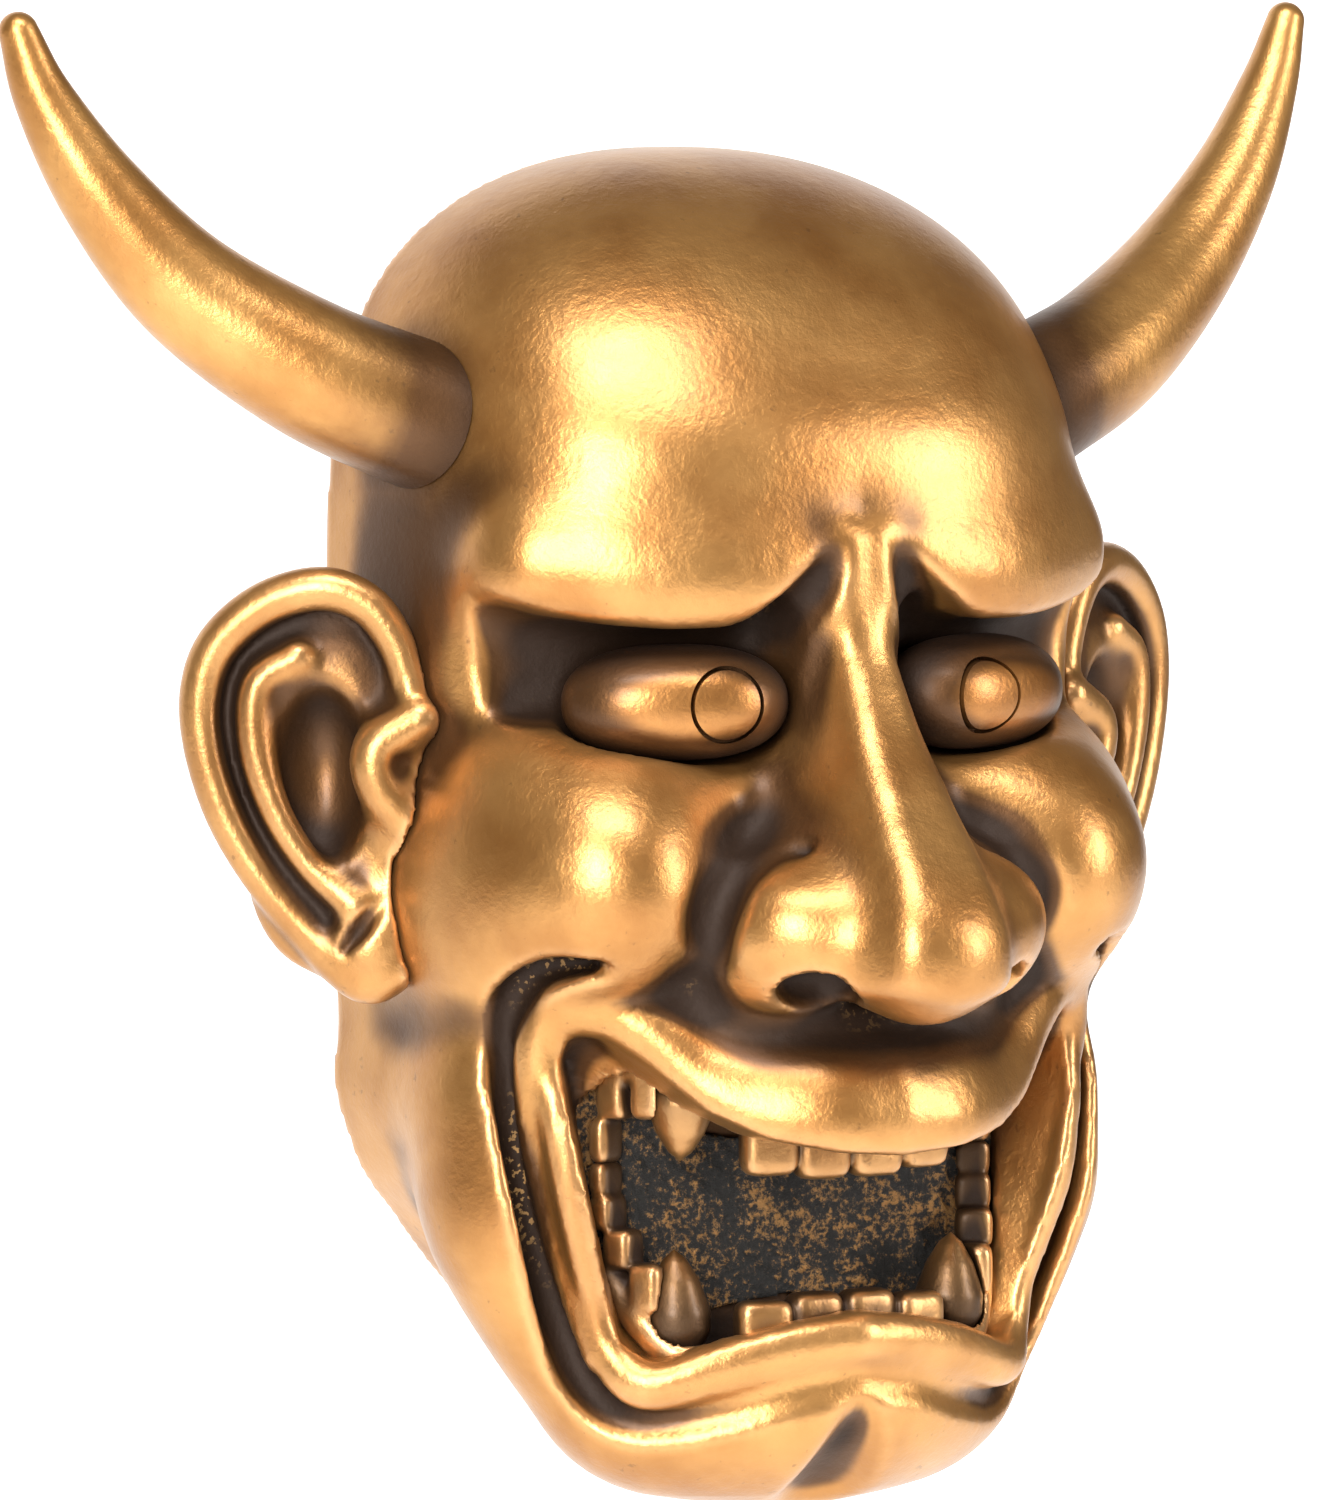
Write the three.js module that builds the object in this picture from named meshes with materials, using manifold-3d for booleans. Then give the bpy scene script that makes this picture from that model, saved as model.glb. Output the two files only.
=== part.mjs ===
// A demon mask for a wall: a hollow cast face with glued-on ears and horns, set-in eyes and teeth, a rough
// lining in the open mouth, and a hinged ring behind the crown that hangs on a nail.
//
// Frame: millimetres, +X to a viewer's right (the mask's own left), +Y to the wall, +Z up. The shape is
// described about the pupils' height, and the finished group is lowered so that its origin is the nail.

import * as THREE from "three";
import { mergeVertices } from "three/addons/utils/BufferGeometryUtils.js";
import Module from "manifold-3d";

const wasm = await Module();
wasm.setup();

// ---------------------------------------------------------------- driving dimensions

const FACE_WIDTH = 140; // across the temples
const FACE_DEPTH = 110; // wall to nose tip
const FACE_HEIGHT = 244; // chin to crown
const WALL = 7; // thickness of the casting on its plain stretches
const GAP = 0.3; // glue line or clearance between touching pieces
const BORE_GAP = 0.3; // radial clearance round a screw or a peg

const HORN_ROOT_RADIUS = 13.5;
const HORN_TIP_RADIUS = 3.6;
const HORN_PEG_RADIUS = 5;
const HORN_PEG_LENGTH = 4.5;
const HORN_BOSS_DEPTH = 9; // from the head's skin in to the flat that the washer seats on
const HORN_SCREW_RADIUS = 1.8;
const HORN_SCREW_LENGTH = 14;
const SCREW_HEAD_RADIUS = 3.6;
const SCREW_HEAD_HEIGHT = 2.2;
const WASHER_RADIUS = 5.5;
const WASHER_THICKNESS = 1;
const HORN_BOSS_RADIUS = WASHER_RADIUS + 2;

const EYE_HALF = { along: 20.5, through: 12, up: 11 }; // half sizes of an eye piece
const PUPIL_RADIUS = 6.2;
const PUPIL_DEPTH = 6;

const MOUTH_FLOOR = 45; // drawing's zero to the lining's front face
const LINING_THICKNESS = 2;
const LINING_BACK = MOUTH_FLOOR - LINING_THICKNESS;
const TOOTH_THICKNESS = 6;
const GUM_HEIGHT = 7;
const FANG_RADIUS = 4.7;
const UPPER_FANG_LENGTH = 15;
const LOWER_FANG_LENGTH = 17;

const LUG = { width: 34, height: 33, thickness: 9, recess: 6 }; // recess: wall to the lug's back face
const PLATE = { width: 16, height: 20, thickness: 1.2 };
const RING_WIRE_RADIUS = 1.1;
const RING_WIDTH = 18;
const RING_LENGTH = 15;
const HINGE_GAP = 0.08; // the ring turns in its barrel with this radial clearance
const HANGER_SCREW_RADIUS = 1.5;
const HANGER_SCREW_LENGTH = 7;
const HANGER_SCREW_SPACING = 9;
const HANGER_SCREW_RISE = 8; // above the hinge
const HANGER_HEAD = { radius: 2.6, height: 1.4 };
const HINGE_RISE = 3; // the ring's hinge above the lug's lower end

// The face was drawn at this size. Every drawn point is stretched to the driving size.
const DRAWN = { width: 140, depth: 110, height: 244 };
const STRETCH = new THREE.Vector3(
  FACE_WIDTH / DRAWN.width,
  FACE_DEPTH / DRAWN.depth,
  FACE_HEIGHT / DRAWN.height,
);
const stretched = ([x, y, z]) => new THREE.Vector3(x, y, z).multiply(STRETCH);
const WALL_Y = 3 * STRETCH.y; // the wall's plane, a little behind the drawing's zero

// ---------------------------------------------------------------- solids and how they are joined

function solid(geometry) {
  const bare = geometry.clone();
  for (const name of Object.keys(bare.attributes)) {
    if (name !== "position") bare.deleteAttribute(name);
  }
  const merged = mergeVertices(bare, 1e-4);
  return new wasm.Manifold(
    new wasm.Mesh({
      numProp: 3,
      vertProperties: new Float32Array(merged.attributes.position.array),
      triVerts: new Uint32Array(merged.index.array),
    }),
  );
}

function geometryOf(manifold) {
  const mesh = manifold.getMesh();
  const points = new Float32Array(mesh.numVert * 3);
  for (let i = 0; i < mesh.numVert; i++) {
    const at = i * mesh.numProp;
    points.set(mesh.vertProperties.subarray(at, at + 3), i * 3);
  }
  return new THREE.BufferGeometry()
    .setAttribute("position", new THREE.BufferAttribute(points, 3))
    .setIndex(new THREE.BufferAttribute(new Uint32Array(mesh.triVerts), 1));
}

const largest = (manifold) =>
  manifold.decompose().reduce((a, b) => (a.volume() > b.volume() ? a : b));

const box = (sizes, centre) =>
  solid(new THREE.BoxGeometry(...sizes).translate(...centre));

// A cylinder from one point to another.
function rod(from, to, radius, sides = 24) {
  const span = new THREE.Vector3().subVectors(to, from);
  const turn = new THREE.Quaternion().setFromUnitVectors(
    new THREE.Vector3(0, 1, 0),
    span.clone().normalize(),
  );
  const middle = new THREE.Vector3().addVectors(from, to).multiplyScalar(0.5);
  return solid(
    new THREE.CylinderGeometry(radius, radius, span.length(), sides)
      .applyQuaternion(turn)
      .translate(middle.x, middle.y, middle.z),
  );
}

// ---------------------------------------------------------------- clay: shapes as distance fields

const smoothMin = (a, b, k) => {
  const h = Math.max(k - Math.abs(a - b), 0) / k;
  return Math.min(a, b) - (h * h * k) / 4;
};
const smoothMax = (a, b, k) => -smoothMin(-a, -b, k);

// An ellipsoid, turned about the vertical by an angle in degrees.
function ball([cx, cy, cz], [rx, ry, rz], turn = 0) {
  const c = Math.cos(THREE.MathUtils.degToRad(turn));
  const s = Math.sin(THREE.MathUtils.degToRad(turn));
  return (x, y, z) => {
    const qx = c * (x - cx) + s * (y - cy);
    const qy = -s * (x - cx) + c * (y - cy);
    const qz = z - cz;
    const reach = Math.hypot(qx / rx, qy / ry, qz / rz);
    const slope = Math.hypot(qx / rx ** 2, qy / ry ** 2, qz / rz ** 2);
    return reach < 1e-6 ? -Math.min(rx, ry, rz) : (reach * (reach - 1)) / slope;
  };
}

// A block with rounded edges.
const slab = ([cx, cy, cz], [hx, hy, hz], round) => (x, y, z) => {
  const [qx, qy, qz] = [
    Math.abs(x - cx) - hx + round,
    Math.abs(y - cy) - hy + round,
    Math.abs(z - cz) - hz + round,
  ];
  const outside = Math.hypot(Math.max(qx, 0), Math.max(qy, 0), Math.max(qz, 0));
  return outside + Math.min(Math.max(qx, qy, qz), 0) - round;
};

// A roll of clay through points [x, y, z, radius], smooth between them.
function roll(points, steps = 4) {
  const line = new THREE.CatmullRomCurve3(
    points.map(([x, y, z]) => new THREE.Vector3(x, y, z)),
  );
  const count = (points.length - 1) * steps;
  const knots = [];
  for (let i = 0; i <= count; i++) {
    const at = i / steps;
    const k = Math.min(Math.floor(at), points.length - 2);
    const radius = THREE.MathUtils.lerp(points[k][3], points[k + 1][3], at - k);
    knots.push([...line.getPoint(i / count).toArray(), radius]);
  }
  return (x, y, z) => {
    let nearest = Infinity;
    for (let i = 0; i < count; i++) {
      const [ax, ay, az, ar] = knots[i];
      const [bx, by, bz, br] = knots[i + 1];
      const dx = bx - ax;
      const dy = by - ay;
      const dz = bz - az;
      const along = (x - ax) * dx + (y - ay) * dy + (z - az) * dz;
      const t = THREE.MathUtils.clamp(along / (dx * dx + dy * dy + dz * dz), 0, 1);
      const away = Math.hypot(x - ax - t * dx, y - ay - t * dy, z - az - t * dz);
      nearest = Math.min(nearest, away - ar - t * (br - ar));
    }
    return nearest;
  };
}

// A value that follows [height, value] stops smoothly.
function profile(stops) {
  const slopes = stops.map((stop, i) => {
    const before = stops[Math.max(i - 1, 0)];
    const after = stops[Math.min(i + 1, stops.length - 1)];
    return (after[1] - before[1]) / (after[0] - before[0]);
  });
  return (z) => {
    if (z <= stops[0][0]) return stops[0][1];
    let i = 0;
    while (i < stops.length - 2 && z > stops[i + 1][0]) i++;
    const span = stops[i + 1][0] - stops[i][0];
    const t = Math.min((z - stops[i][0]) / span, 1);
    const a = stops[i][1] + slopes[i] * span * t;
    const b = stops[i + 1][1] - slopes[i + 1] * span * (1 - t);
    return THREE.MathUtils.lerp(a, b, t * t * (3 - 2 * t));
  };
}

// Where solid meets solid only across the diagonal of a grid square, the nearer empty corner is filled,
// so that no edge of the skin is shared by four faces.
function joinDiagonals(values, strides) {
  for (let changed = true; changed; ) {
    changed = false;
    for (let p = 0; p < values.length; p++)
      for (let m = 0; m < 3; m++) {
        const [u, v] = [strides[m], strides[(m + 1) % 3]];
        const square = [p, p + u, p + u + v, p + v];
        const [a, b, c, d] = square.map((q) => values[q] < 0);
        if (a !== c || b !== d || a === b) continue;
        const [q, r] = a ? [square[1], square[3]] : [square[0], square[2]];
        const nearer = values[q] < values[r] ? q : r;
        values[nearer] = -0.5 * values[nearer] - 1e-3;
        changed = true;
      }
  }
}

// The closed skin of a distance field, as surface nets: one vertex in each cell that the surface crosses.
function skin(field, low, high, cell) {
  const counts = [0, 1, 2].map((k) => Math.ceil((high[k] - low[k]) / cell) + 1);
  const [nx, ny, nz] = counts;
  const at = (i, j, k) => i + nx * (j + ny * k);
  const values = new Float64Array(nx * ny * nz);
  for (let k = 0; k < nz; k++)
    for (let j = 0; j < ny; j++)
      for (let i = 0; i < nx; i++)
        values[at(i, j, k)] = field(
          low[0] + i * cell,
          low[1] + j * cell,
          low[2] + k * cell,
        );
  const strides = [at(1, 0, 0), at(0, 1, 0), at(0, 0, 1)];
  joinDiagonals(values, strides);
  const corners = [];
  for (let c = 0; c < 8; c++) corners.push([c & 1, (c >> 1) & 1, (c >> 2) & 1]);
  const edges = [];
  for (let c = 0; c < 8; c++)
    for (const step of [1, 2, 4]) if (!(c & step)) edges.push([c, c | step]);
  const points = [];
  const vertexOf = new Int32Array(values.length).fill(-1);
  for (let k = 0; k < nz - 1; k++)
    for (let j = 0; j < ny - 1; j++)
      for (let i = 0; i < nx - 1; i++) {
        const v = corners.map(([a, b, c]) => values[at(i + a, j + b, k + c)]);
        const sum = [0, 0, 0];
        let crossed = 0;
        for (const [a, b] of edges) {
          if (v[a] < 0 === v[b] < 0) continue;
          const t = v[a] / (v[a] - v[b]);
          for (let m = 0; m < 3; m++) {
            sum[m] += corners[a][m] + t * (corners[b][m] - corners[a][m]);
          }
          crossed++;
        }
        if (!crossed) continue;
        vertexOf[at(i, j, k)] = points.length / 3;
        points.push(
          low[0] + (i + sum[0] / crossed) * cell,
          low[1] + (j + sum[1] / crossed) * cell,
          low[2] + (k + sum[2] / crossed) * cell,
        );
      }
  const faces = [];
  for (let k = 1; k < nz - 1; k++)
    for (let j = 1; j < ny - 1; j++)
      for (let i = 1; i < nx - 1; i++) {
        const here = at(i, j, k);
        for (let m = 0; m < 3; m++) {
          const inside = values[here] < 0;
          if (inside === values[here + strides[m]] < 0) continue;
          const side = strides[(m + 1) % 3];
          const other = strides[(m + 2) % 3];
          const ring = [here - side - other, here - other, here, here - side];
          const [a, b, c, d] = ring.map((cellAt) => vertexOf[cellAt]);
          if (inside) faces.push(a, b, c, a, c, d);
          else faces.push(a, c, b, a, d, c);
        }
      }
  return new THREE.BufferGeometry()
    .setAttribute("position", new THREE.Float32BufferAttribute(points, 3))
    .setIndex(faces);
}

// A field drawn at the drawn size, skinned and stretched to the driving size.
function cast(field, low, high, cell) {
  return solid(skin(field, low, high, cell).scale(...STRETCH));
}

// ---------------------------------------------------------------- the face, as it was drawn

const CROWN_Z = 96;
const CHIN_Z = -147;
const MIDDLE_Z = -20;
const halfWidthAt = profile([
  [-147, 15], [-132, 27], [-115, 41], [-98, 55], [-82, 65],
  [-60, 67], [-20, 70], [20, 69.5], [60, 71], [96, 71],
]);
const depthAt = profile([
  [-147, 66], [-120, 67], [-95, 67], [-60, 62], [-20, 60], [8, 66], [30, 71], [60, 68], [96, 56],
]);
const squarenessAt = profile([[-147, 2.4], [-90, 3.6], [-60, 3.3], [-20, 2.8], [40, 2.7], [96, 2.3]]);

// The plain head: rounded-square sections that close over the crown and under the chin.
function headShape(x, y, z) {
  const n = squarenessAt(z);
  const up = z > MIDDLE_Z;
  const t = (z - MIDDLE_Z) / (up ? CROWN_Z - MIDDLE_Z : CHIN_Z - MIDDLE_Z);
  const across = Math.abs(x / halfWidthAt(z)) ** n + Math.abs(y / depthAt(z)) ** n;
  return (across + t ** (up ? 4.2 : 14)) ** (1 / n) - 1;
}

// Its distance, to first order: the shape's value over the steepness of its change.
function head(x, y, z) {
  const e = 0.5;
  const value = headShape(x, y, z);
  const steepness = Math.hypot(
    headShape(x + e, y, z) - headShape(x - e, y, z),
    headShape(x, y + e, z) - headShape(x, y - e, z),
    headShape(x, y, z + e) - headShape(x, y, z - e),
  ) / (2 * e);
  return value / Math.max(steepness, 1 / 120);
}

const add = (shape, blend) => (d, x, y, z) => smoothMin(d, shape(x, y, z), blend);
const cut = (shape, blend) => (d, x, y, z) => smoothMax(d, -shape(x, y, z), blend);

// The face is symmetric: each lump and hollow is drawn on its left half.
const FEATURES = [
  // brow ridge, eye hollow and the frown groove beside the nose's root
  add(roll([[8, -64, 22, 6], [30, -60, 20, 8.5], [54, -47, 23, 8]]), 14),
  cut(ball([36, -66, 0], [28, 15, 14], 20), 3),
  cut(roll([[17, -70, 9, 7], [12, -72, 15, 5.5], [7.5, -74.5, 22, 4], [4.6, -75.5, 30, 1.6]]), 2),
  // cheekbone under the eye, and the cheek
  add(roll([[22, -62, -19, 4], [38, -58, -21, 6], [54, -46, -18, 7]]), 9),
  add(ball([44.5, -50, -33.5], [21, 29, 21.5]), 12),
  add(ball([52, -34, -36], [19, 26, 26]), 10),
  // muzzle below the nose
  add(ball([0, -50, -76], [40, 30, 22]), 8),
  add(roll([[0, -69, -62, 8], [16, -68, -60, 8], [30, -61, -56, 7], [39, -57, -52, 6]]), 5),
  // nose: ridge, tip, wing, and the crease round the wing
  add(roll([[0, -66, 28, 5], [0, -69, 6, 7], [0, -79, -18, 11], [0, -88, -42, 14]]), 8),
  add(ball([0, -91, -45.5], [15, 15, 14]), 10),
  add(ball([20, -77, -41.5], [12.5, 15, 12.5], -15), 10),
  cut(roll([[23, -80, -26, 3], [31, -80, -30, 4.5], [35, -79, -38, 4.5], [34.5, -77, -47, 3.5]]), 3),
  cut(ball([15.5, -86, -54], [6.5, 8, 5], -30), 2),
  // jaw and chin, with its cleft
  add(ball([45, -35, -80], [22.5, 21, 31]), 9),
  add(ball([0, -46, -127], [40, 25, 20]), 10),
  cut(roll([[0, -73, -127, 1], [0, -72, -136, 4.5], [0, -70, -152, 11]]), 3),
  // groove outside the lips, then the lips themselves
  cut(roll([[61.5, -52, -54, 3.5], [61.5, -50, -66, 4], [57, -49, -90, 4], [50, -50, -112, 4]]), 3),
  add(
    roll([
      [0, -80, -76.5, 8], [24, -71.5, -74.5, 7.5], [37, -63, -62, 6.2], [49, -56, -55.5, 5.2],
      [56, -50, -65, 4.8], [51, -47.5, -90, 4.6], [46.7, -48, -104.5, 4.6],
    ]),
    3,
  ),
  add(
    roll([
      [46.7, -48, -104.5, 4.6], [43, -51.5, -117.5, 5], [37, -57.5, -124, 5.5], [25, -62.5, -121, 6.5],
      [13, -66, -118, 6.8], [0, -68, -117, 7],
    ]),
    3,
  ),
  add(roll([[0, -77.5, -71, 9.5], [23, -69.5, -69, 8], [38, -61, -59, 5]]), 4),
];

const sculpted = (x, y, z) =>
  FEATURES.reduce((d, feature) => feature(d, Math.abs(x), y, z), head(Math.abs(x), y, z));

const FACE_BACK = 9; // the clay is closed this far behind the wall's plane, and trimmed flat later
const face = (x, y, z) => Math.max(sculpted(x, y, z), y - FACE_BACK);

const FACE_LOW = [-84, -118, -156];
const FACE_HIGH = [84, 15, 108];
const FACE_CELL = 7.5;
const HOLLOW_CELL = 11;

// ---------------------------------------------------------------- mouth

// The open mouth seen from the front, half of it, as drawn points [x, z] from the upper lip to the lower.
const MOUTH_HALF = [
  [0, -81], [16, -80], [28, -76], [39, -67], [46, -61.5], [50.5, -65],
  [49.5, -82], [43.5, -102], [37, -115], [27, -115.5], [12, -112], [0, -111],
];

function mouthOutline(inset = 0) {
  const middle = new THREE.Vector2(0, -103);
  const place = ([x, z], side) => {
    const p = new THREE.Vector2(x * STRETCH.x * side, z * STRETCH.z);
    const toMiddle = middle.clone().multiply(new THREE.Vector2(1, STRETCH.z)).sub(p);
    return p.add(toMiddle.normalize().multiplyScalar(inset));
  };
  const left = MOUTH_HALF.map((p) => place(p, 1));
  const right = MOUTH_HALF.slice(1, -1).reverse().map((p) => place(p, -1));
  return new THREE.Shape([...left, ...right]);
}

// A prism through the mouth's outline, between two distances from the wall.
function mouthPrism(near, far, inset) {
  const geometry = new THREE.ExtrudeGeometry(mouthOutline(inset), {
    depth: far - near,
    bevelEnabled: false,
  });
  return solid(geometry.rotateX(Math.PI / 2).translate(0, -near, 0));
}

// ---------------------------------------------------------------- eyes

// An eye piece is a rounded bar, turned outwards to follow the face.
const EYE_CENTRE = stretched([31, -57.5, -1.5]);
const EYE_TURN = THREE.MathUtils.degToRad(19);
const PUPIL_OFFSET = -7.5; // from the eye's middle towards the nose

function eyeSolid(side, grow = 0) {
  const geometry = new THREE.SphereGeometry(1, 20, 12);
  const at = geometry.attributes.position;
  const flatten = (v, power) => Math.sign(v) * Math.abs(v) ** power;
  for (let i = 0; i < at.count; i++) {
    at.setXYZ(
      i,
      flatten(at.getX(i), 0.8) * (EYE_HALF.along + grow),
      at.getY(i) * (EYE_HALF.through + grow),
      flatten(at.getZ(i), 0.9) * (EYE_HALF.up + grow),
    );
  }
  geometry.rotateZ(EYE_TURN * side);
  return solid(geometry.translate(EYE_CENTRE.x * side, EYE_CENTRE.y, EYE_CENTRE.z));
}

function pupilAxis(side) {
  const out = new THREE.Vector3(Math.sin(EYE_TURN) * side, -Math.cos(EYE_TURN), 0);
  const along = new THREE.Vector3(Math.cos(EYE_TURN) * side, Math.sin(EYE_TURN), 0);
  const front = new THREE.Vector3(EYE_CENTRE.x * side, EYE_CENTRE.y, EYE_CENTRE.z)
    .addScaledVector(along, PUPIL_OFFSET)
    .addScaledVector(out, EYE_HALF.through);
  return { out, front };
}

// The plug's blank, and with a clearance the bore that it sits in.
function pupilRod(side, clearance = 0) {
  const { out, front } = pupilAxis(side);
  return rod(
    front.clone().addScaledVector(out, -PUPIL_DEPTH - clearance),
    front.clone().addScaledVector(out, 2),
    PUPIL_RADIUS + clearance,
    20,
  );
}

// ---------------------------------------------------------------- horns

const HORN_ROOT = stretched([66, -23, 50]); // on the head's skin
const HORN_BEND = [
  [84, -18, 58], [104, -10.5, 72], [119, -6.5, 89], [129, -3.2, 106], [133.5, -2, 118],
].map(stretched);
const HORN_BURIED = stretched([57, -26, 46.5]); // where the horn's sweep begins, inside the head

function hornCurve(side) {
  const line = [HORN_BURIED, HORN_ROOT, ...HORN_BEND];
  return new THREE.CatmullRomCurve3(line.map((p) => new THREE.Vector3(p.x * side, p.y, p.z)));
}

// A point on the horn's fixing axis, at a depth from the head's skin.
function hornAxis(side, depth) {
  const root = new THREE.Vector3(HORN_ROOT.x * side, HORN_ROOT.y, HORN_ROOT.z);
  const buried = new THREE.Vector3(HORN_BURIED.x * side, HORN_BURIED.y, HORN_BURIED.z);
  return root.addScaledVector(buried.sub(root).normalize(), depth);
}
const hornRod = (side, from, to, radius) =>
  rod(hornAxis(side, from), hornAxis(side, to), radius, 16);

// Rings round the curve that shrink from root to tip, closed by a rounded end.
function hornSolid(side) {
  const curve = hornCurve(side);
  const sides = 14;
  const rings = 12;
  const frames = curve.computeFrenetFrames(rings, false);
  const points = [];
  const ring = (centre, i, radius) => {
    for (let k = 0; k < sides; k++) {
      const a = (k / sides) * 2 * Math.PI;
      const p = centre
        .clone()
        .addScaledVector(frames.normals[i], Math.cos(a) * radius)
        .addScaledVector(frames.binormals[i], Math.sin(a) * radius);
      points.push(p.x, p.y, p.z);
    }
  };
  const radiusAt = (t) => THREE.MathUtils.lerp(HORN_ROOT_RADIUS, HORN_TIP_RADIUS, t ** 1.7);
  for (let i = 0; i <= rings; i++) ring(curve.getPointAt(i / rings), i, radiusAt(i / rings));
  const tip = curve.getPointAt(1);
  const beyond = frames.tangents[rings];
  for (const turn of [30, 60]) {
    const a = THREE.MathUtils.degToRad(turn);
    const centre = tip.clone().addScaledVector(beyond, HORN_TIP_RADIUS * Math.sin(a));
    ring(centre, rings, HORN_TIP_RADIUS * Math.cos(a));
  }
  const last = points.length / 3 / sides - 1;
  points.push(...curve.getPointAt(0).toArray());
  points.push(...tip.clone().addScaledVector(beyond, HORN_TIP_RADIUS).toArray());
  const rootAt = points.length / 3 - 2;
  const faces = [];
  for (let k = 0; k < sides; k++) {
    const next = (k + 1) % sides;
    for (let i = 0; i < last; i++) {
      const [a, b] = [i * sides + k, i * sides + next];
      faces.push(a, b, b + sides, a, b + sides, a + sides);
    }
    faces.push(rootAt, next, k);
    faces.push(rootAt + 1, last * sides + k, last * sides + next);
  }
  const geometry = new THREE.BufferGeometry()
    .setAttribute("position", new THREE.Float32BufferAttribute(points, 3))
    .setIndex(faces);
  return solid(geometry);
}

// ---------------------------------------------------------------- ears

// An ear stands in an upright plane that leaves the head backwards: along it, out of it, and up.
const EAR_TURN = 34;
const EAR_ROOT = [70, -26];

function earPoint(along, z, out = 0) {
  const a = THREE.MathUtils.degToRad(EAR_TURN);
  return [
    EAR_ROOT[0] + along * Math.cos(a) + out * Math.sin(a),
    EAR_ROOT[1] + along * Math.sin(a) - out * Math.cos(a),
    z,
  ];
}
const EAR_RIM = [
  [-1, -6], [0, 5], [5, 14], [15, 17], [27, 15], [35, 7], [38, -5],
  [36, -18], [29, -31], [20, -42], [14, -50], [8, -55], [1, -55],
];

const EAR_PLATE_UPPER = ball(earPoint(18, -6, -3), [20, 6.5, 22], EAR_TURN);
const EAR_PLATE_LOWER = ball(earPoint(13, -33, -2), [15, 7, 22], EAR_TURN);
const EAR_RIM_ROLL = roll(EAR_RIM.map(([along, z]) => [...earPoint(along, z, 1), 4]));
const EAR_BOWL = ball(earPoint(13, -20, 4), [9, 7, 18], EAR_TURN);
function ear(x, y, z) {
  const plate = smoothMin(
    EAR_PLATE_UPPER(x, y, z),
    EAR_PLATE_LOWER(x, y, z),
    8,
  );
  const rimmed = smoothMin(plate, EAR_RIM_ROLL(x, y, z), 2);
  return smoothMax(rimmed, -EAR_BOWL(x, y, z), 3);
}

const EAR_LOW = [54, -56, -68];
const EAR_HIGH = [114, 12, 30];
const EAR_CELL = 5.2;

// ---------------------------------------------------------------- teeth

// Both rows of teeth follow one arch in plan, given by its half width, its depth and how square it is.
const ARCH = { half: 47 * STRETCH.x, depth: 69 * STRETCH.y, power: 3 };

const archDepth = (x, inset = 0) => {
  const share = Math.min(Math.abs(x) / (ARCH.half - inset), 1);
  return (ARCH.depth - inset) * (1 - share ** ARCH.power) ** (1 / ARCH.power);
};

// [distance from the middle, height of the tooth's middle, width, height], in drawn sizes
const UPPER_TEETH = [
  [5.5, -80.5, 10.6, 12], [16.5, -79.5, 10.6, 12], [36, -72, 6.5, 10], [39.6, -74, 6, 9], [41.2, -81, 5.6, 8],
];
const LOWER_TEETH = [
  [5.5, -113, 10.8, 10], [16.5, -114, 10.8, 10], [36.8, -106, 6.5, 9], [39.8, -98.5, 6, 8], [41.2, -91, 5.6, 8],
];
const UPPER_GUM = [[0, -72], [12, -72], [22, -71], [29, -68.5], [35, -68], [39, -70], [41, -77]];
const LOWER_GUM = [[0, -119], [12, -120], [21, -121], [29, -119.5], [34.5, -113], [38.5, -104], [41, -95]];
const UPPER_FANG = { x: 28.8, root: -69, lean: 1 };
const LOWER_FANG = { x: 28.8, root: -117, lean: 2 };

function tooth([x, z, width, height], side) {
  const w = (width * STRETCH.x) / 2;
  const h = (height * STRETCH.z) / 2;
  const bevel = 1.2;
  const shape = new THREE.Shape([
    new THREE.Vector2(-w + bevel, -h + bevel),
    new THREE.Vector2(w - bevel, -h + bevel),
    new THREE.Vector2(w - bevel, h - bevel),
    new THREE.Vector2(-w + bevel, h - bevel),
  ]);
  const depth = TOOTH_THICKNESS - 2 * bevel;
  const geometry = new THREE.ExtrudeGeometry(shape, {
    depth,
    bevelThickness: bevel,
    bevelSize: bevel,
    bevelSegments: 1,
  });
  const centre = x * STRETCH.x * side;
  const step = 0.5;
  const slope = (archDepth(centre + step) - archDepth(centre - step)) / (2 * step);
  geometry.rotateX(Math.PI / 2).translate(0, depth + bevel, 0); // the front face through the turning point
  geometry.rotateZ(-Math.atan(slope));
  return solid(geometry.translate(centre, -archDepth(centre), z * STRETCH.z));
}

function gum(line) {
  const radius = GUM_HEIGHT / 2;
  const place = ([x, z], side) => {
    const at = x * STRETCH.x * side;
    return new THREE.Vector3(at, -archDepth(at, radius), z * STRETCH.z);
  };
  const left = line.slice(1).reverse().map((p) => place(p, -1));
  const right = line.map((p) => place(p, 1));
  const section = new THREE.Shape().absarc(0, 0, radius, 0, 2 * Math.PI);
  return solid(
    new THREE.ExtrudeGeometry(section, {
      extrudePath: new THREE.CatmullRomCurve3([...left, ...right]),
      steps: 26,
      curveSegments: 3,
    }),
  );
}

// A fang is a turned cone with a rounded root, standing at its place on the arch.
function fangSolid({ x, root, lean }, length, up, side, grow = 0) {
  const radius = FANG_RADIUS + grow;
  const profilePoints = [
    [0, -grow], [radius * 0.8, -grow], [radius, 2], [radius, length * 0.35], [radius * 0.72, length * 0.68],
    [radius * 0.3, length * 0.95], [0, length + grow],
  ];
  const geometry = new THREE.LatheGeometry(
    profilePoints.map(([r, h]) => new THREE.Vector2(r, h)),
    18,
  );
  geometry.rotateX(up ? Math.PI / 2 : -Math.PI / 2);
  geometry.rotateY(THREE.MathUtils.degToRad(lean * side * (up ? 1 : -1)));
  const centre = x * STRETCH.x * side;
  return solid(
    geometry.translate(centre, -archDepth(centre, FANG_RADIUS), root * STRETCH.z),
  );
}

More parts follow.
